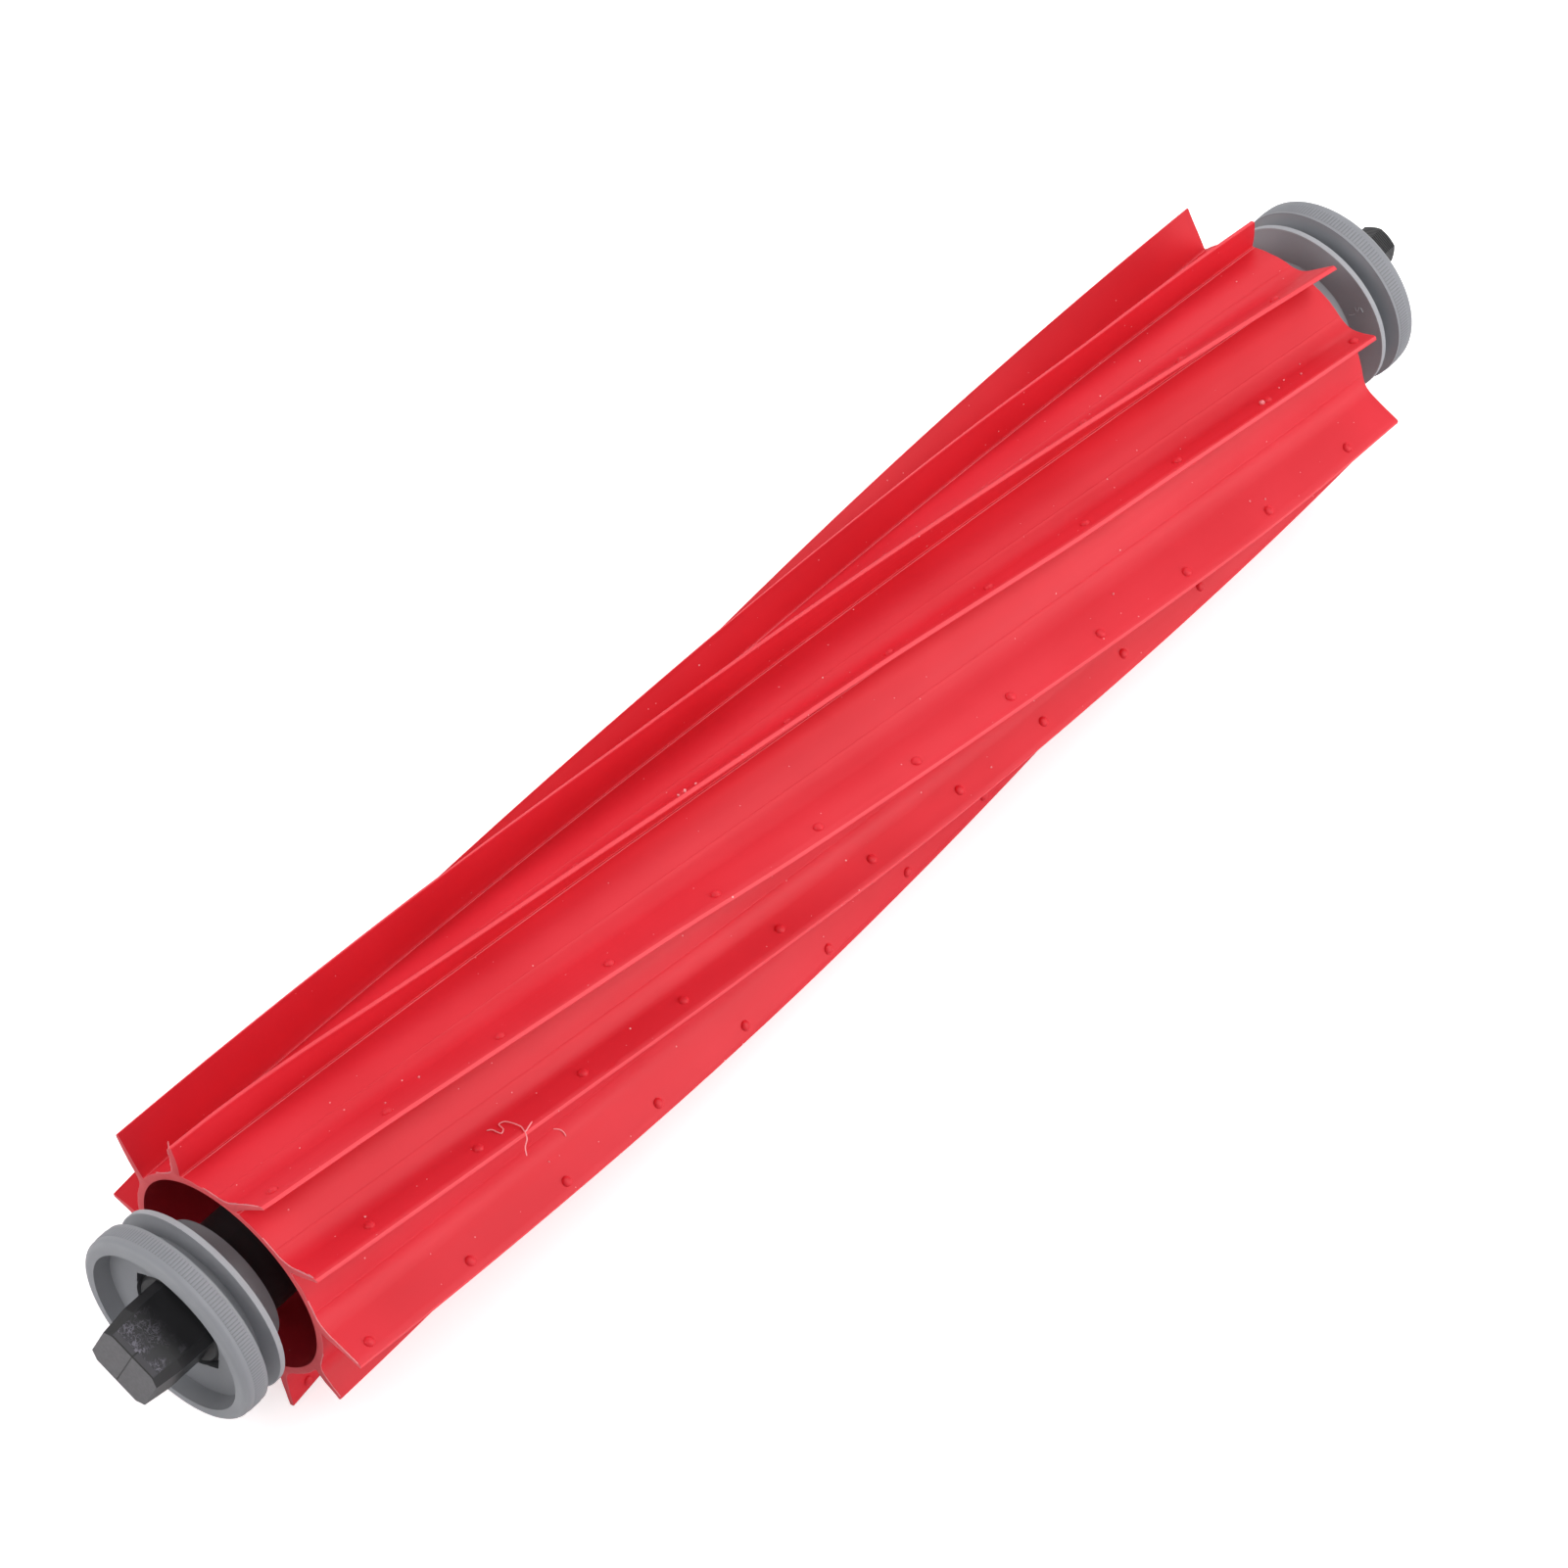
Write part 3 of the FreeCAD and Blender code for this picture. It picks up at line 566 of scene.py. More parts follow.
def add_cut_end(skin, outwards, loop, loop_start, ring, ring_start):
    """A cut end between the outer loop and the bore's ring: a narrow edge, painted paler as a
    painted highlight, then a flat face. Outwards is -1 or 1 along X."""
    def add_end_face(face, index):
        corners = [skin.vertices[i] for i in face]
        skin.add_face(face, index, [(y / UV_SIZE, z / UV_SIZE) for _, y, z in corners])

    count = len(loop)
    inner = inset(loop, CUT_EDGE_WIDTH, outwards * CUT_EDGE_DEPTH)
    inner_start = skin.add_points(inner)
    for n in range(count):
        m = (n + 1) % count
        quad = (loop_start + n, loop_start + m, inner_start + m, inner_start + n)
        # The edge band's pale red is a painted highlight.
        add_end_face(quad if outwards < 0 else tuple(reversed(quad)), EDGE_HIGHLIGHT)

    numbers = [inner_start + n for n in range(count)]
    numbers += [ring_start + n for n in reversed(range(len(ring)))]
    flat = [[Vector((y, z, 0)) for _, y, z in points] for points in (inner, reversed(ring))]
    for triangle in tessellate_polygon(flat):
        a, b, c = (numbers[i] for i in triangle)
        pa, pb, pc = (Vector(skin.vertices[i]) for i in (a, b, c))
        turned = (pb - pa).cross(pc - pa).x * outwards < 0
        add_end_face((a, c, b) if turned else (a, b, c), CUT)


BUMP_COUNT = 12
BUMP_PITCH = 13.8
BUMP_PROFILE = ((0.56, -0.22), (0.56, 0.03), (0.52, 0.14), (0.42, 0.25), (0.24, 0.315))
BUMP_TOP = 0.335
BUMP_SEGMENTS = 18
# A bump's UVs hardly change across it, so the rubber's fine lines stay off it.
BUMP_UV_LENGTH, BUMP_UV_WIDTH, BUMP_UV_PLACE = 100, 4000, 0.3
# The first bump of a fin as (distance from the drive mouth, distance from the axis).
SHORT_FIN_BUMP, LONG_FIN_BUMP = (8.3, 14.4), (2.5, 15.9)


def on_face(fin, along, u, lift=0.0):
    """A place on the fin's face that looks towards larger angles, or a bit off it."""
    lean = float(np.interp(along, STATIONS, LEANS[fin]))
    tip_radius = FINS[fin][0]
    share = (tip_radius - u) / (tip_radius - ROOT_RADIUS)
    v = TIP_THICKNESS / 2 + (ROOT_THICKNESS / 2 + ROOT_SHIFT - TIP_THICKNESS / 2) * share
    return Vector(fin_point(fin, along, lean, u, v + lift))


def face_frame(fin, along, u, reach=0.3):
    """Place, normal, direction along the fin and direction up on that face."""
    here = on_face(fin, along, u)
    up = (on_face(fin, along, u + reach) - on_face(fin, along, u - reach)).normalized()
    ahead = (on_face(fin, along + reach, u) - on_face(fin, along - reach, u)).normalized()
    normal = ahead.cross(up).normalized()
    middle = on_face(fin, along, u, -TIP_THICKNESS)
    if normal.dot(here - middle) < 0:
        normal = -normal
    return here, normal, ahead, normal.cross(ahead)


def add_bump(skin, fin, along, u):
    """A small round bump on a fin's face."""
    here, normal, ahead, up = face_frame(fin, along, u)
    points = []
    for radius, height in BUMP_PROFILE:
        for n in range(BUMP_SEGMENTS):
            turn = 2 * math.pi * n / BUMP_SEGMENTS
            flat = ahead * (radius * math.cos(turn)) + up * (radius * math.sin(turn))
            points.append(tuple(here + flat + normal * height))
    first = skin.add_points(points + [tuple(here + normal * BUMP_TOP)])
    top = first + len(points)
    last = top - BUMP_SEGMENTS
    made = [tuple(first + n for n in reversed(range(BUMP_SEGMENTS)))]
    for low in range(first, last, BUMP_SEGMENTS):
        high = low + BUMP_SEGMENTS
        for n in range(BUMP_SEGMENTS):
            m = (n + 1) % BUMP_SEGMENTS
            made.append((low + n, low + m, high + m, high + n))
    made += [(last + n, last + (n + 1) % BUMP_SEGMENTS, top) for n in range(BUMP_SEGMENTS)]
    for face in made:
        corners = [skin.vertices[i] for i in face]
        skin.add_face(face, PLAIN, [(x / BUMP_UV_LENGTH, BUMP_UV_PLACE + y / BUMP_UV_WIDTH)
                                    for x, y, _ in corners])


def make_sleeve():
    """The finned sleeve, with its cut ends and a row of bumps near each fin's tip."""
    skin = Skin()
    loops = [outline(station) for station in range(len(STATIONS))]
    loops[0] = ragged(loops[0], DRIVE_CUT_WAVE)
    loops[-1] = ragged(loops[-1], IDLER_CUT_WAVE)
    loop_starts = add_outside(skin, loops)
    rings, ring_starts = add_bore(skin)
    for outwards, end in ((-1, 0), (1, -1)):
        add_cut_end(skin, outwards, loops[end], loop_starts[end], rings[end], ring_starts[end])
    for fin in range(FIN_COUNT):
        start, u = LONG_FIN_BUMP if fin % 2 else SHORT_FIN_BUMP
        for number in range(BUMP_COUNT):
            add_bump(skin, fin, start + number * BUMP_PITCH, u)

    sleeve = new_mesh("finned_sleeve", skin.vertices, skin.faces, skin.indices)
    add_uvs(sleeve, skin.uvs)
    for finish in SLEEVE_FINISHES:
        sleeve.data.materials.append(finish)
    shade(sleeve, angle=38)
    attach(sleeve, "roller")
    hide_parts("rubber_sleeve")


make_sleeve()


# Litter: flash, lint and crumbs
# Torn flash on the cut end at the drive mouth: how far it stands out along each fin's front
# edge, as (distance from the axis, height) from the tip down to the root.
FLASH = {
    0: ((15.8, 0.03), (15.0, 0.08), (13.5, 0.12), (12.4, 0.16)),
    9: ((16.7, 0.03), (16.2, 0.11), (14.6, 0.14), (12.6, 0.28)),
    8: ((15.9, 0.03), (15.7, 0.62), (14.9, 0.50), (13.9, 0.20), (12.4, 0.20)),
    7: ((16.7, 0.05), (15.8, 0.18), (14.2, 0.26), (13.0, 0.14), (12.3, 0.24)),
    6: ((15.6, 0.05), (14.0, 0.12), (12.4, 0.12)),
}
# The strip of a fin's edge that the flash covers, and the step between its sections.
FLASH_START, FLASH_STOP, FLASH_STEP = 0.25, 0.1, 0.09
# Its foot sinks into the rubber and spans a bit of X, and its crest leans out along X by a
# share of its height.
FLASH_SINK = 0.02
FLASH_FOOT = -0.03, 0.10
FLASH_CURL = 0.30


def flash_wave(place, fin):
    """How high the flash is at a place along a fin's edge, as a share."""
    wave = 0.72 + 0.34 * math.sin(2.9 * place + fin) + 0.20 * math.sin(7.7 * place + 2 * fin)
    wave += 0.10 * math.sin(23.0 * place)
    return max(0.10, wave)


def make_flash():
    """A thin ragged ridge along the cut edge, three-sided all along, with closed ends."""
    vertices, faces = [], []
    for fin, heights in FLASH.items():
        radii = [r for r, _ in reversed(heights)]
        rises = [h for _, h in reversed(heights)]
        edge = [(u, v) for u, v, part in front_half(FINS[fin][0]) if part != TIP]
        steps = [0.0]
        for a, b in zip(edge, edge[1:]):
            steps.append(steps[-1] + math.dist(a, b))
        places = np.arange(FLASH_START, steps[-1] - FLASH_STOP, FLASH_STEP)
        us = np.interp(places, steps, [p[0] for p in edge])
        vs = np.interp(places, steps, [p[1] for p in edge])
        lean = LEANS[fin][0]
        first = len(vertices)
        for place, u, v, du, dv in zip(places, us, vs, np.gradient(us), np.gradient(vs)):
            length = math.hypot(du, dv)
            out_u, out_v = dv / length, -du / length
            rise = float(np.interp(math.hypot(u, v), radii, rises)) * flash_wave(place, fin)
            for along in FLASH_FOOT:
                vertices.append(fin_point(fin, along, lean, u - FLASH_SINK * out_u,
                                          v - FLASH_SINK * out_v))
            vertices.append(fin_point(fin, -FLASH_CURL * rise, lean, u + rise * out_u,
                                      v + rise * out_v))
        last = len(vertices) - 3
        for row in range(first, last, 3):
            for side in range(3):
                a, b = row + side, row + (side + 1) % 3
                faces.append((a, a + 3, b + 3, b))
        faces += [(first, first + 1, first + 2), (last + 2, last + 1, last)]
    return vertices, faces


TUBE_SIDES = 6
TUBE_SHARES = (0, 0.2, 0.4, 0.6, 0.8)
# A direction that no thread follows, to find the sides of one.
SLANT = Vector((0.3, 0.5, 0.81))


def tube(points, radius):
    """A thin round thread through the points, closed with a point at each end."""
    ends = [2 * points[0] - points[1]] + points + [2 * points[-1] - points[-2]]
    path = []
    for a, b, c, d in zip(ends, ends[1:], ends[2:], ends[3:]):
        for t in TUBE_SHARES:
            path.append(0.5 * (2 * b + (c - a) * t + (2 * a - 5 * b + 4 * c - d) * t ** 2
                               + (3 * b - a - 3 * c + d) * t ** 3))
    path.append(points[-1])
    vertices, faces = [path[0]], []
    for before, here, after in zip(path, path[1:], path[2:]):
        ahead = (after - before).normalized()
        side = ahead.cross(SLANT).normalized()
        up = side.cross(ahead)
        for n in range(TUBE_SIDES):
            turn = 2 * math.pi * n / TUBE_SIDES
            vertices.append(here + radius * (side * math.cos(turn) + up * math.sin(turn)))
    end = len(vertices)
    last = end - TUBE_SIDES
    vertices.append(path[-1])
    for n in range(TUBE_SIDES):
        m = (n + 1) % TUBE_SIDES
        faces.append((0, 1 + n, 1 + m))
        for low in range(1, last, TUBE_SIDES):
            high = low + TUBE_SIDES
            faces.append((low + n, high + n, high + m, low + m))
        faces.append((end, last + m, last + n))
    return [tuple(v) for v in vertices], faces


THREAD_RADIUS = 0.065
# Threads of lint as (along, distance from the axis, lift off the face), on a fin's front face.
LINT = (
    (8, (24.28, 13.36, 0.15), (24.69, 13.67, 0.15), (24.77, 14.26, 0.15), (24.89, 14.71, 0.15),
     (25.43, 14.39, 0.15), (25.62, 13.65, 0.15), (26.20, 13.86, 0.25), (26.52, 14.66, 0.25),
     (26.64, 15.56, 0.2), (26.35, 16.34, 0.25), (27.15, 16.03, 0.15), (27.89, 15.74, 0.15)),
    (8, (26.35, 16.34, 0.25), (25.75, 17.13, 0.35), (24.84, 17.74, 0.35), (24.14, 18.55, 0.35)),
    (7, (32.20, 11.69, 1.10), (32.90, 11.99, 0.66), (33.20, 12.36, 0.36), (33.20, 12.78, 0.18)),
    (0, (0.12, 15.40, -0.20), (0.06, 16.20, -0.20), (0.02, 16.95, -0.15)),
)
# Crumbs on a fin's front face as (fin, along, distance from the axis, size).
CRUMBS = (
    (0, 145.5, 14.5, 0.34), (0, 153.7, 12.6, 0.13), (0, 152.2, 14.0, 0.14), (0, 62.3, 15.7, 0.17),
    (0, 63.1, 15.8, 0.21), (0, 64.6, 15.6, 0.15), (9, 22.0, 13.9, 0.15), (9, 17.5, 14.3, 0.13),
    (8, 8.9, 13.2, 0.12), (7, 30.0, 13.5, 0.12), (9, 118.0, 13.6, 0.14), (8, 96.0, 14.6, 0.12),
    (0, 150.4, 13.2, 0.12), (0, 148.9, 13.8, 0.11), (9, 139.5, 14.2, 0.12), (9, 141.2, 14.9, 0.11),
)
OCTAHEDRON = ((1, 0, 0), (0, 1, 0), (-1, 0, 0), (0, -1, 0), (0, 0, 1), (0, 0, -1))
OCTAHEDRON_FACES = ((0, 1, 4), (1, 2, 4), (2, 3, 4), (3, 0, 4), (1, 0, 5), (2, 1, 5), (3, 2, 5),
                    (0, 3, 5))
CRUMB_CORNERS = 0.6, 1.15


def crumb(centre, size, seed):
    """A small jagged solid: an octahedron with each face split, pushed in and out at random."""
    rand = random.Random(seed)
    corners = [Vector(c) for c in OCTAHEDRON]
    split, between = [], {}
    for face in OCTAHEDRON_FACES:
        mids = []
        for a, b in zip(face, face[1:] + face[:1]):
            key = (min(a, b), max(a, b))
            if key not in between:
                between[key] = len(corners)
                corners.append((corners[a] + corners[b]).normalized())
            mids.append(between[key])
        split += [(face[0], mids[0], mids[2]), (face[1], mids[1], mids[0]),
                  (face[2], mids[2], mids[1]), tuple(mids)]
    return [tuple(centre + c * size * rand.uniform(*CRUMB_CORNERS)) for c in corners], split


def small_solids(name, solids, finish, body):
    """One object made of small closed solids, riding on a body."""
    vertices, faces = [], []
    for points, sides in solids:
        faces += [tuple(n + len(vertices) for n in side) for side in sides]
        vertices += points
    made = new_mesh(name, vertices, faces)
    corners = [vertices[c] for face in faces for c in face]
    add_uvs(made, [(x / UV_SIZE, y / UV_SIZE) for x, y, _ in corners])
    made.data.materials.append(finish)
    shade(made, angle=40)
    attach(made, body)


def make_litter():
    """Lint and crumbs lying on the fins, and the flash."""
    solids = [make_flash()]
    for fin, *places in LINT:
        solids.append(tube([on_face(fin, *place) for place in places], THREAD_RADIUS))
    for seed, (fin, place, u, size) in enumerate(CRUMBS):
        solids.append(crumb(on_face(fin, place, u, 0.5 * size), size, seed))
    small_solids("lint_and_flash", solids, RED_FLASH, "roller")


make_litter()


# End caps and core
AXIS = (1, 0, 0)
# A flange's thin edge, and the outside of a rim, by distance from the axis. The flanges lie
# between the rims.
FLANGE_EDGE = 10.40, 10.60
BETWEEN_RIMS = -88.6, 85.5
RIM_OUTSIDE = 10.58, 10.74
GREY_PAIR = (0.318, 0.324, 0.345), (0.288, 0.295, 0.318)
# Paler grey on the flange's thin edge: a painted highlight.
FLANGE_EDGE_HIGHLIGHT_GREY = (0.372, 0.379, 0.404)
RIM_GREY = (0.262, 0.268, 0.290)


def cap_material():
    """Grey plastic: paler on the flange's thin edge, a painted highlight, and a little darker on
    the rim's outside.
    """
    made, nodes, links, place, _, mixed = plastic_material("Grey plastic", *GREY_PAIR, 0.50,
                                                           dusty=True)
    flat = node(nodes, "ShaderNodeVectorMath", {"operation": "MULTIPLY"})
    links.new(place, flat.inputs[0])
    flat.inputs[1].default_value = (0.0, 1 / MM, 1 / MM)
    length = node(nodes, "ShaderNodeVectorMath", {"operation": "LENGTH"})
    links.new(flat.outputs["Vector"], length.inputs[0])
    radius = length.outputs["Value"]
    x = distance_along(nodes, links, place, AXIS)
    # The flange's thin edge is painted paler: a painted highlight.
    edge = product(nodes, links, within(nodes, links, radius, *FLANGE_EDGE, soft=0.06),
                   within(nodes, links, x, *BETWEEN_RIMS, soft=0.1))
    mixed = blend_colours(nodes, links, edge, mixed, FLANGE_EDGE_HIGHLIGHT_GREY)
    outside = ramp(nodes, links, radius, *RIM_OUTSIDE)
    mixed = blend_colours(nodes, links, outside, mixed, RIM_GREY)
    links.new(mixed, nodes["Principled BSDF"].inputs["Base Color"])
    return made


GREY = cap_material()
# A darker grey for the rim ribs' grooves: painted shade.
GREY_GROOVE_SHADE, *_ = plastic_material("Grey groove painted shade", (0.200, 0.205, 0.222), (0.182, 0.187, 0.204),
                                   0.56)
NYLON, *_ = plastic_material("Nylon", (0.78, 0.76, 0.70), (0.70, 0.68, 0.62), 0.5)
STEEL = metal_material("Steel", (0.72, 0.72, 0.74), 0.28)

BLACK_PAIR = (0.021, 0.0200, 0.0222), (0.014, 0.0134, 0.0150)
# The end face's paler pair: painted light, over the face's own mottling.
END_FACE_PAINTED_LIGHT_PAIR = (0.084, 0.080, 0.086), (0.122, 0.117, 0.125)
STRIP_BLACK = (0.052, 0.049, 0.057)
HAZE_BLACK = (0.034, 0.032, 0.038)
SCUFF_GREY = (0.190, 0.178, 0.215)
# Dark for the mould seam, and painted shadow for the line along the step.
SEAM_AND_STEP_SHADOW_BLACK = (0.005, 0.005, 0.005)
CREST_BLACK = (0.048, 0.047, 0.050)
# Ranges on the tang: along X, across the face that looks up, and up from the axis to it.
TANG_ANGLE = 23.3
TANG_END = -98.2, -97.80
TANG_END_STEP = -97.79, -97.68
TANG_STRIP = -97.68, -97.1
TANG_TOP = 3.3, 4.2
TANG_TOP_WIDTH = -2.75, 2.75
SEAM = -98.2, -97.0
SEAM_WIDTH = -0.05, 0.05
CHIP = -97.16, -96.95
CHIP_WIDTH = 0.02, 0.34
# Scuffs grow towards the tang's end and stop before the strip. They are thin bands of noise.
SCUFFS_GROW = -93.0, -95.6
SCUFFS_STOP = -97.12, -97.04
HAZE_GROWS = -95.0, -97.2
SCUFF_SCALES = 700.0, 1200.0, 1900.0
SCUFF_BAND = 0.490, 0.500
SCUFF_PATCH_SCALE = 520.0
SCUFF_PATCHES = 0.36, 0.52
END_FACE_PATCHES = 0.35, 0.65


def scuffs(nodes, links, place):
    """Fine hooked scratches in patches."""
    worn = 0.0
    for scale in SCUFF_SCALES:
        field = node(nodes, "ShaderNodeTexNoise", Scale=scale, Detail=1.0, Distortion=0.8)
        links.new(place, field.inputs["Vector"])
        hair = within(nodes, links, field.outputs["Fac"], *SCUFF_BAND, soft=0.018)
        worn = calculate(nodes, links, "MAXIMUM", hair, worn)
    patch = noise(nodes, links, place, SCUFF_PATCH_SCALE, 2.0)
    return product(nodes, links, worn, ramp(nodes, links, patch, *SCUFF_PATCHES))


def core_material():
    """Black plastic. On the tang: an end face painted paler as painted light, with a mould seam
    and a painted shadow line at its step, a smooth strip next to it, and scuffs on the face that
    looks up."""
    made, nodes, links, place, grain, mixed = plastic_material("Core plastic", *BLACK_PAIR, 0.42)
    shader = nodes["Principled BSDF"]
    turn = math.radians(TANG_ANGLE)
    x = distance_along(nodes, links, place, AXIS)
    across = distance_along(nodes, links, place, (0, math.cos(turn), math.sin(turn)))
    upwards = distance_along(nodes, links, place, (0, -math.sin(turn), math.cos(turn)))

    # The end face is painted paler: painted light.
    painted_light_end_face = within(nodes, links, x, *TANG_END)
    mottled_painted_light = blend_colours(nodes, links, ramp(nodes, links, grain, *END_FACE_PATCHES),
                            *END_FACE_PAINTED_LIGHT_PAIR)
    mixed = blend_colours(nodes, links, painted_light_end_face, mixed, mottled_painted_light)
    top = product(nodes, links, within(nodes, links, upwards, *TANG_TOP),
                  within(nodes, links, across, *TANG_TOP_WIDTH, soft=0.08))
    strip = product(nodes, links, top, within(nodes, links, x, *TANG_STRIP))
    mixed = blend_colours(nodes, links, strip, mixed, STRIP_BLACK)

    zone = product(nodes, links, ramp(nodes, links, x, *SCUFFS_GROW),
                   ramp(nodes, links, x, *SCUFFS_STOP), top)
    haze = product(nodes, links, zone, ramp(nodes, links, x, *HAZE_GROWS))
    mixed = blend_colours(nodes, links, haze, mixed, HAZE_BLACK)
    chip = product(nodes, links, within(nodes, links, across, *CHIP_WIDTH, soft=0.1),
                   within(nodes, links, x, *CHIP, soft=0.08), top)
    worn = product(nodes, links, scuffs(nodes, links, place), zone)
    worn = calculate(nodes, links, "MAXIMUM", worn, chip)
    mixed = blend_colours(nodes, links, worn, mixed, SCUFF_GREY)

    seam = product(nodes, links, within(nodes, links, across, *SEAM_WIDTH, soft=0.04),
                   within(nodes, links, x, *SEAM))
    # The dark line along the step is a painted shadow; the seam is the mould's dark joint.
    step = product(nodes, links, within(nodes, links, x, *TANG_END_STEP), top)
    seam_and_step_shadow = calculate(nodes, links, "MAXIMUM", seam, step)
    mixed = blend_colours(nodes, links, seam_and_step_shadow, mixed, SEAM_AND_STEP_SHADOW_BLACK)
    links.new(mixed, shader.inputs["Base Color"])

    height = calculate(nodes, links, "SUBTRACT", worn, seam_and_step_shadow)
    rough = bump(nodes, links, grain, 0.14, 0.03 * MM)
    links.new(bump(nodes, links, height, 0.7, 0.04 * MM, rough), shader.inputs["Normal"])
    return made


# In radians per millimetre: about four rings to the millimetre.
PEG_RINGS = 25.0
RING_CREST = -0.6, 1.0


def peg_material():
    """Black plastic with fine rings left by the tool round the peg."""
    made, nodes, links, place, grain, mixed = plastic_material("Peg plastic", *BLACK_PAIR, 0.40)
    shader = nodes["Principled BSDF"]
    x = distance_along(nodes, links, place, AXIS)
    rings = calculate(nodes, links, "SINE", product(nodes, links, x, PEG_RINGS))
    crest = ramp(nodes, links, rings, *RING_CREST)
    links.new(blend_colours(nodes, links, crest, mixed, CREST_BLACK),
              shader.inputs["Base Color"])
    rough = bump(nodes, links, grain, 0.14, 0.03 * MM)
    links.new(bump(nodes, links, rings, 0.8, 0.06 * MM, rough), shader.inputs["Normal"])
    return made


BALL_COUNT = 7

dress("roller_core", core_material())
dress("idler_peg", peg_material())
for name in ("drive_end_cap", "idler_end_cap"):
    dress(name, GREY)
for name in ("thrust_washer", "ball_cage"):
    dress(name, NYLON)
for name in ("idler_axle", "retaining_clip", "bearing_outer_ring", "bearing_inner_ring",
             "bearing_shield_inboard", "bearing_shield_outboard"):
    dress(name, STEEL)
for number in range(1, BALL_COUNT + 1):
    dress(f"bearing_ball_{number}", STEEL)

RIM_RADIUS = 10.78
RIB_COUNT = 176
RIB_HEIGHT = 0.055
# One rib and its groove as (share of the pitch, share of the rib's height). Faces that start
# at the groove's points get painted shade, a darker grey, on the rows between the band's outermost
# ones.
RIB_PROFILE = ((0.0, 1.0), (0.30, 1.0), (0.50, 0.1), (0.65, 0.0), (0.80, 0.1))
GROOVE_POINTS = (2, 3)
GROOVE_ROWS = (1, 2, 3)
# The rows at either end of the band as (distance from that end, height over the rim, share of
# the ribs' height), and how deep the band reaches into the rim.
BAND_ROWS = ((0.0, -0.06, 0.0), (0.12, 0.0, 0.3), (0.35, 0.004, 1.0))
BAND_DEPTH = 0.2


def knurl(name, body, start, end):
    """A band of fine ribs along the axis on the outside of a cap's rim."""
    rows = [(start + inwards, height, share) for inwards, height, share in BAND_ROWS]
    rows += [(end - inwards, height, share) for inwards, height, share in reversed(BAND_ROWS)]
    across = len(RIB_PROFILE)
    count = RIB_COUNT * across
    turns = [(rib + share) * 360 / RIB_COUNT for rib in range(RIB_COUNT)
             for share, _ in RIB_PROFILE]
    vertices, faces, indices = [], [], []
    for x, height, share in rows:
        for n, turn in enumerate(turns):
            rise = height + RIB_HEIGHT * share * RIB_PROFILE[n % across][1]
            vertices.append(around(x, RIM_RADIUS + rise, turn))
    for x in (end, start):
        vertices += [around(x, RIM_RADIUS - BAND_DEPTH, turn) for turn in turns]
    loops = range(0, len(vertices), count)
    for row, low in enumerate(loops):
        high = loops[(row + 1) % len(loops)]
        for n in range(count):
            m = (n + 1) % count
            faces.append((low + n, high + n, high + m, low + m))
            # Groove faces take the darker grey: painted shade.
            indices.append(1 if n % across in GROOVE_POINTS and row in GROOVE_ROWS else 0)
    band = new_mesh(name, vertices, faces, indices)
    band.data.materials.append(GREY)
    band.data.materials.append(GREY_GROOVE_SHADE)
    shade(band, angle=50)
    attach(band, body)


knurl("drive_rim_ribs", "drive_cap", -91.55, -89.9)
knurl("idler_rim_ribs", "idler_cap", 86.85, 88.5)

# Raised pale scratches on the inner side of the idler cap's flange.
SCRATCHES = (
    ((83.34, -6.75, 5.49), (83.36, -7.16, 5.01), (83.53, -7.25, 5.67)),
    ((83.54, -7.37, 5.60), (83.56, -7.60, 5.30), (83.55, -7.79, 5.11)),
    ((82.94, -6.36, 4.25), (83.10, -6.70, 4.38), (83.22, -7.03, 4.63)),
)
SCRATCH_RADIUS = 0.05
PALE, *_ = plastic_material("Scratched plastic", (0.50, 0.50, 0.53), (0.42, 0.42, 0.45), 0.35)
small_solids("flange_scratches",
             [tube([Vector(p) for p in path], SCRATCH_RADIUS) for path in SCRATCHES],
             PALE, "idler_cap")


# Floor, light and camera
FLOOR_HEIGHT = -17.2
FLOOR_REACH = 2200.0
FLOOR_GLOW = 0.60


def mix_for_camera(nodes, links, seen, unseen):
    """One shader where the camera looks straight at it, and another for all other light."""
    path = node(nodes, "ShaderNodeLightPath")
    pick = node(nodes, "ShaderNodeMixShader")
    links.new(path.outputs["Is Camera Ray"], pick.inputs[0])
    links.new(unseen, pick.inputs[1])
    links.new(seen, pick.inputs[2])
    return pick.outputs[0]


def make_floor():
    """A pale floor that glows a little, for the camera only."""
    corners = [(x * FLOOR_REACH, y * FLOOR_REACH, FLOOR_HEIGHT)
               for x, y in ((-1, -1), (1, -1), (1, 1), (-1, 1))]
    floor = new_mesh("floor", corners, [(0, 1, 2, 3)])
    made, nodes, links = material("Pale floor")
    shader = nodes["Principled BSDF"]
    shader.inputs["Base Color"].default_value = (0.82, 0.82, 0.83, 1)
    shader.inputs["Roughness"].default_value = 0.9
    shader.inputs["Specular IOR Level"].default_value = 0.1
    glow = node(nodes, "ShaderNodeEmission", Color=(1, 1, 1, 1), Strength=FLOOR_GLOW)
    both = node(nodes, "ShaderNodeAddShader")
    links.new(shader.outputs[0], both.inputs[0])
    links.new(glow.outputs[0], both.inputs[1])
    links.new(mix_for_camera(nodes, links, both.outputs[0], shader.outputs[0]),
              nodes["Material Output"].inputs["Surface"])
    floor.data.materials.append(made)


# How high a low and a high direction point, and the world's brightness at each.
SKY_HEIGHTS = 0.18, 0.36
SKY_LEVELS = 0.82, 0.02


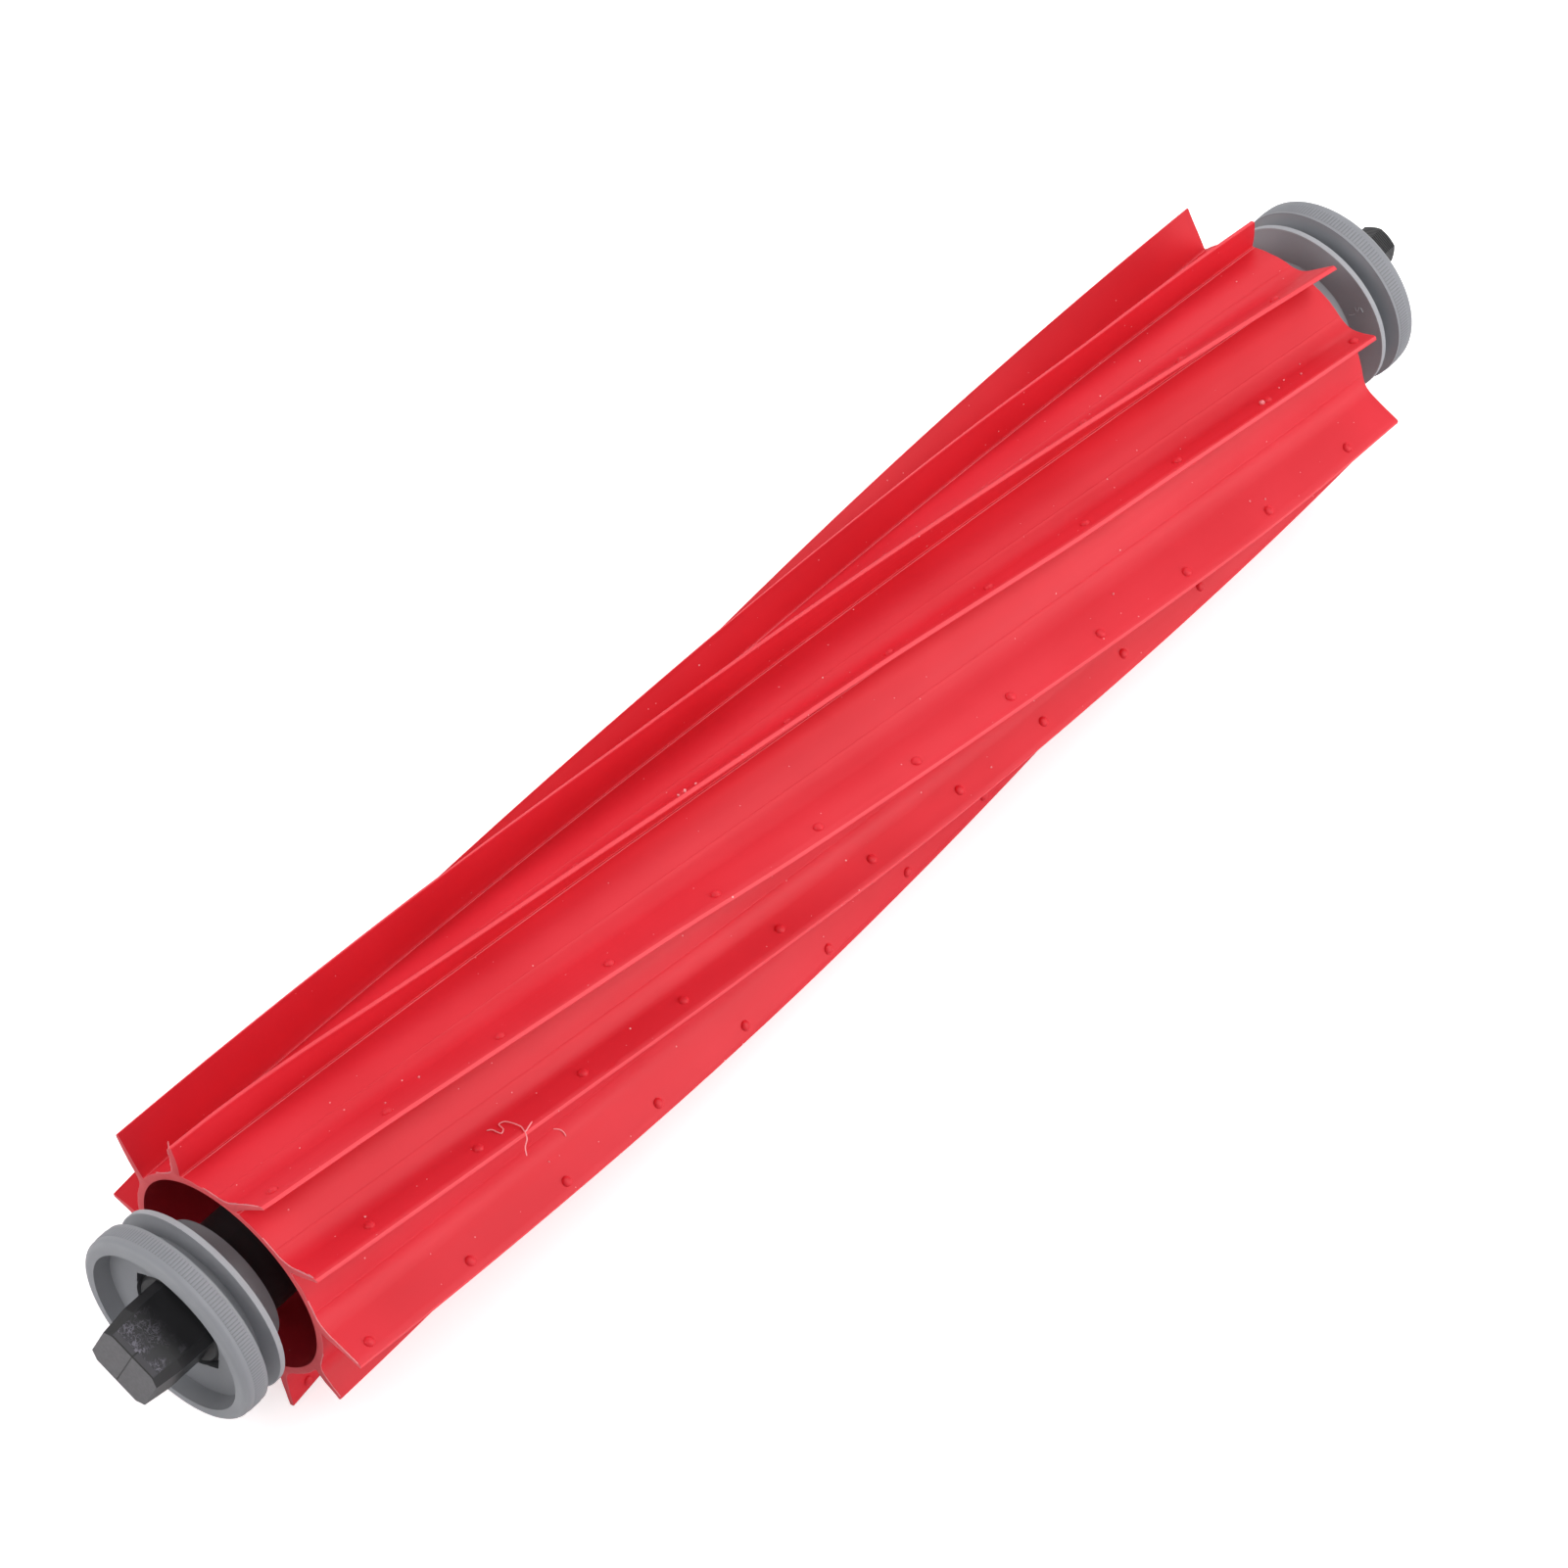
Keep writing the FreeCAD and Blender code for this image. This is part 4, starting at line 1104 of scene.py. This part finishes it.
def make_world():
    """Bright round the horizon and dim overhead, and white where the camera sees it."""
    world = bpy.data.worlds.new("World")
    bpy.context.scene.world = world
    world.use_nodes = True
    nodes, links = world.node_tree.nodes, world.node_tree.links
    nodes.clear()
    output = nodes.new("ShaderNodeOutputWorld")
    place = node(nodes, "ShaderNodeTexCoord").outputs["Generated"]
    split = node(nodes, "ShaderNodeSeparateXYZ")
    links.new(place, split.inputs[0])
    level = map_range(nodes, links, split.outputs["Z"], From_Min=SKY_HEIGHTS[0],
                      From_Max=SKY_HEIGHTS[1], To_Min=SKY_LEVELS[0], To_Max=SKY_LEVELS[1])
    plain = node(nodes, "ShaderNodeBackground", Color=(1, 1, 1, 1))
    links.new(level, plain.inputs["Strength"])
    white = node(nodes, "ShaderNodeBackground", Color=(1, 1, 1, 1), Strength=1.0)
    links.new(mix_for_camera(nodes, links, white.outputs[0], plain.outputs[0]),
              output.inputs["Surface"])


# Round lights at one distance from the middle of the roller, in metres, each with its direction
# and power in watts.
LIGHT_DISTANCE = 1.2
LIGHT_SIZE = 0.8
LIGHTS = (
    ("right_low_softbox", (0.50, -0.80, 0.33), 6.1),
    ("right_high_softbox", (0.35, -0.42, 0.83), 6.1),
    ("left_softbox", (-0.70, 0.35, 0.62), 5.4),
    ("back_right_softbox", (0.65, 0.35, 0.67), 4.2),
    ("back_left_softbox", (-0.10, 0.75, 0.65), 2.5),
    ("front_softbox", (-0.45, -0.35, 0.82), 1.5),
)


def area_light(name, direction, power):
    """A round light that looks at the middle of the roller from a direction."""
    lamp = bpy.data.lights.new(name, "AREA")
    lamp.shape = "DISK"
    lamp.size = LIGHT_SIZE
    lamp.energy = power
    holder = bpy.data.objects.new(name, lamp)
    bpy.context.scene.collection.objects.link(holder)
    towards = Vector(direction).normalized()
    holder.location = towards * LIGHT_DISTANCE
    holder.rotation_mode = "QUATERNION"
    holder.rotation_quaternion = towards.to_track_quat("Z", "Y")


make_floor()
make_world()
for light in LIGHTS:
    area_light(*light)

# The camera as worked out from the photograph: pixels across it, focal length in pixels, and
# place and directions in metres.
PHOTO_SIZE = 1601
FOCAL_PIXELS = 5799.64
CAMERA_PLACE = (-0.282165, -0.239610, 0.444446)
CAMERA_RIGHT = Vector((0.651437, -0.758703, 0.000019))
CAMERA_UP = Vector((0.585092, 0.502388, 0.636611))


def make_camera():
    """The camera that took the photograph, with its directions made square."""
    data = bpy.data.cameras.new("Camera")
    data.sensor_width = 36.0
    data.lens = FOCAL_PIXELS / PHOTO_SIZE * data.sensor_width
    data.clip_start, data.clip_end = 0.01, 20
    camera = bpy.data.objects.new("Camera", data)
    bpy.context.scene.collection.objects.link(camera)
    back = CAMERA_RIGHT.cross(CAMERA_UP).normalized()
    up = back.cross(CAMERA_RIGHT).normalized()
    right = up.cross(back)
    turn = Matrix((right, up, back)).transposed().to_4x4()
    camera.matrix_world = Matrix.Translation(CAMERA_PLACE) @ turn
    bpy.context.scene.camera = camera


make_camera()
bpy.context.scene.view_settings.view_transform = "Standard"
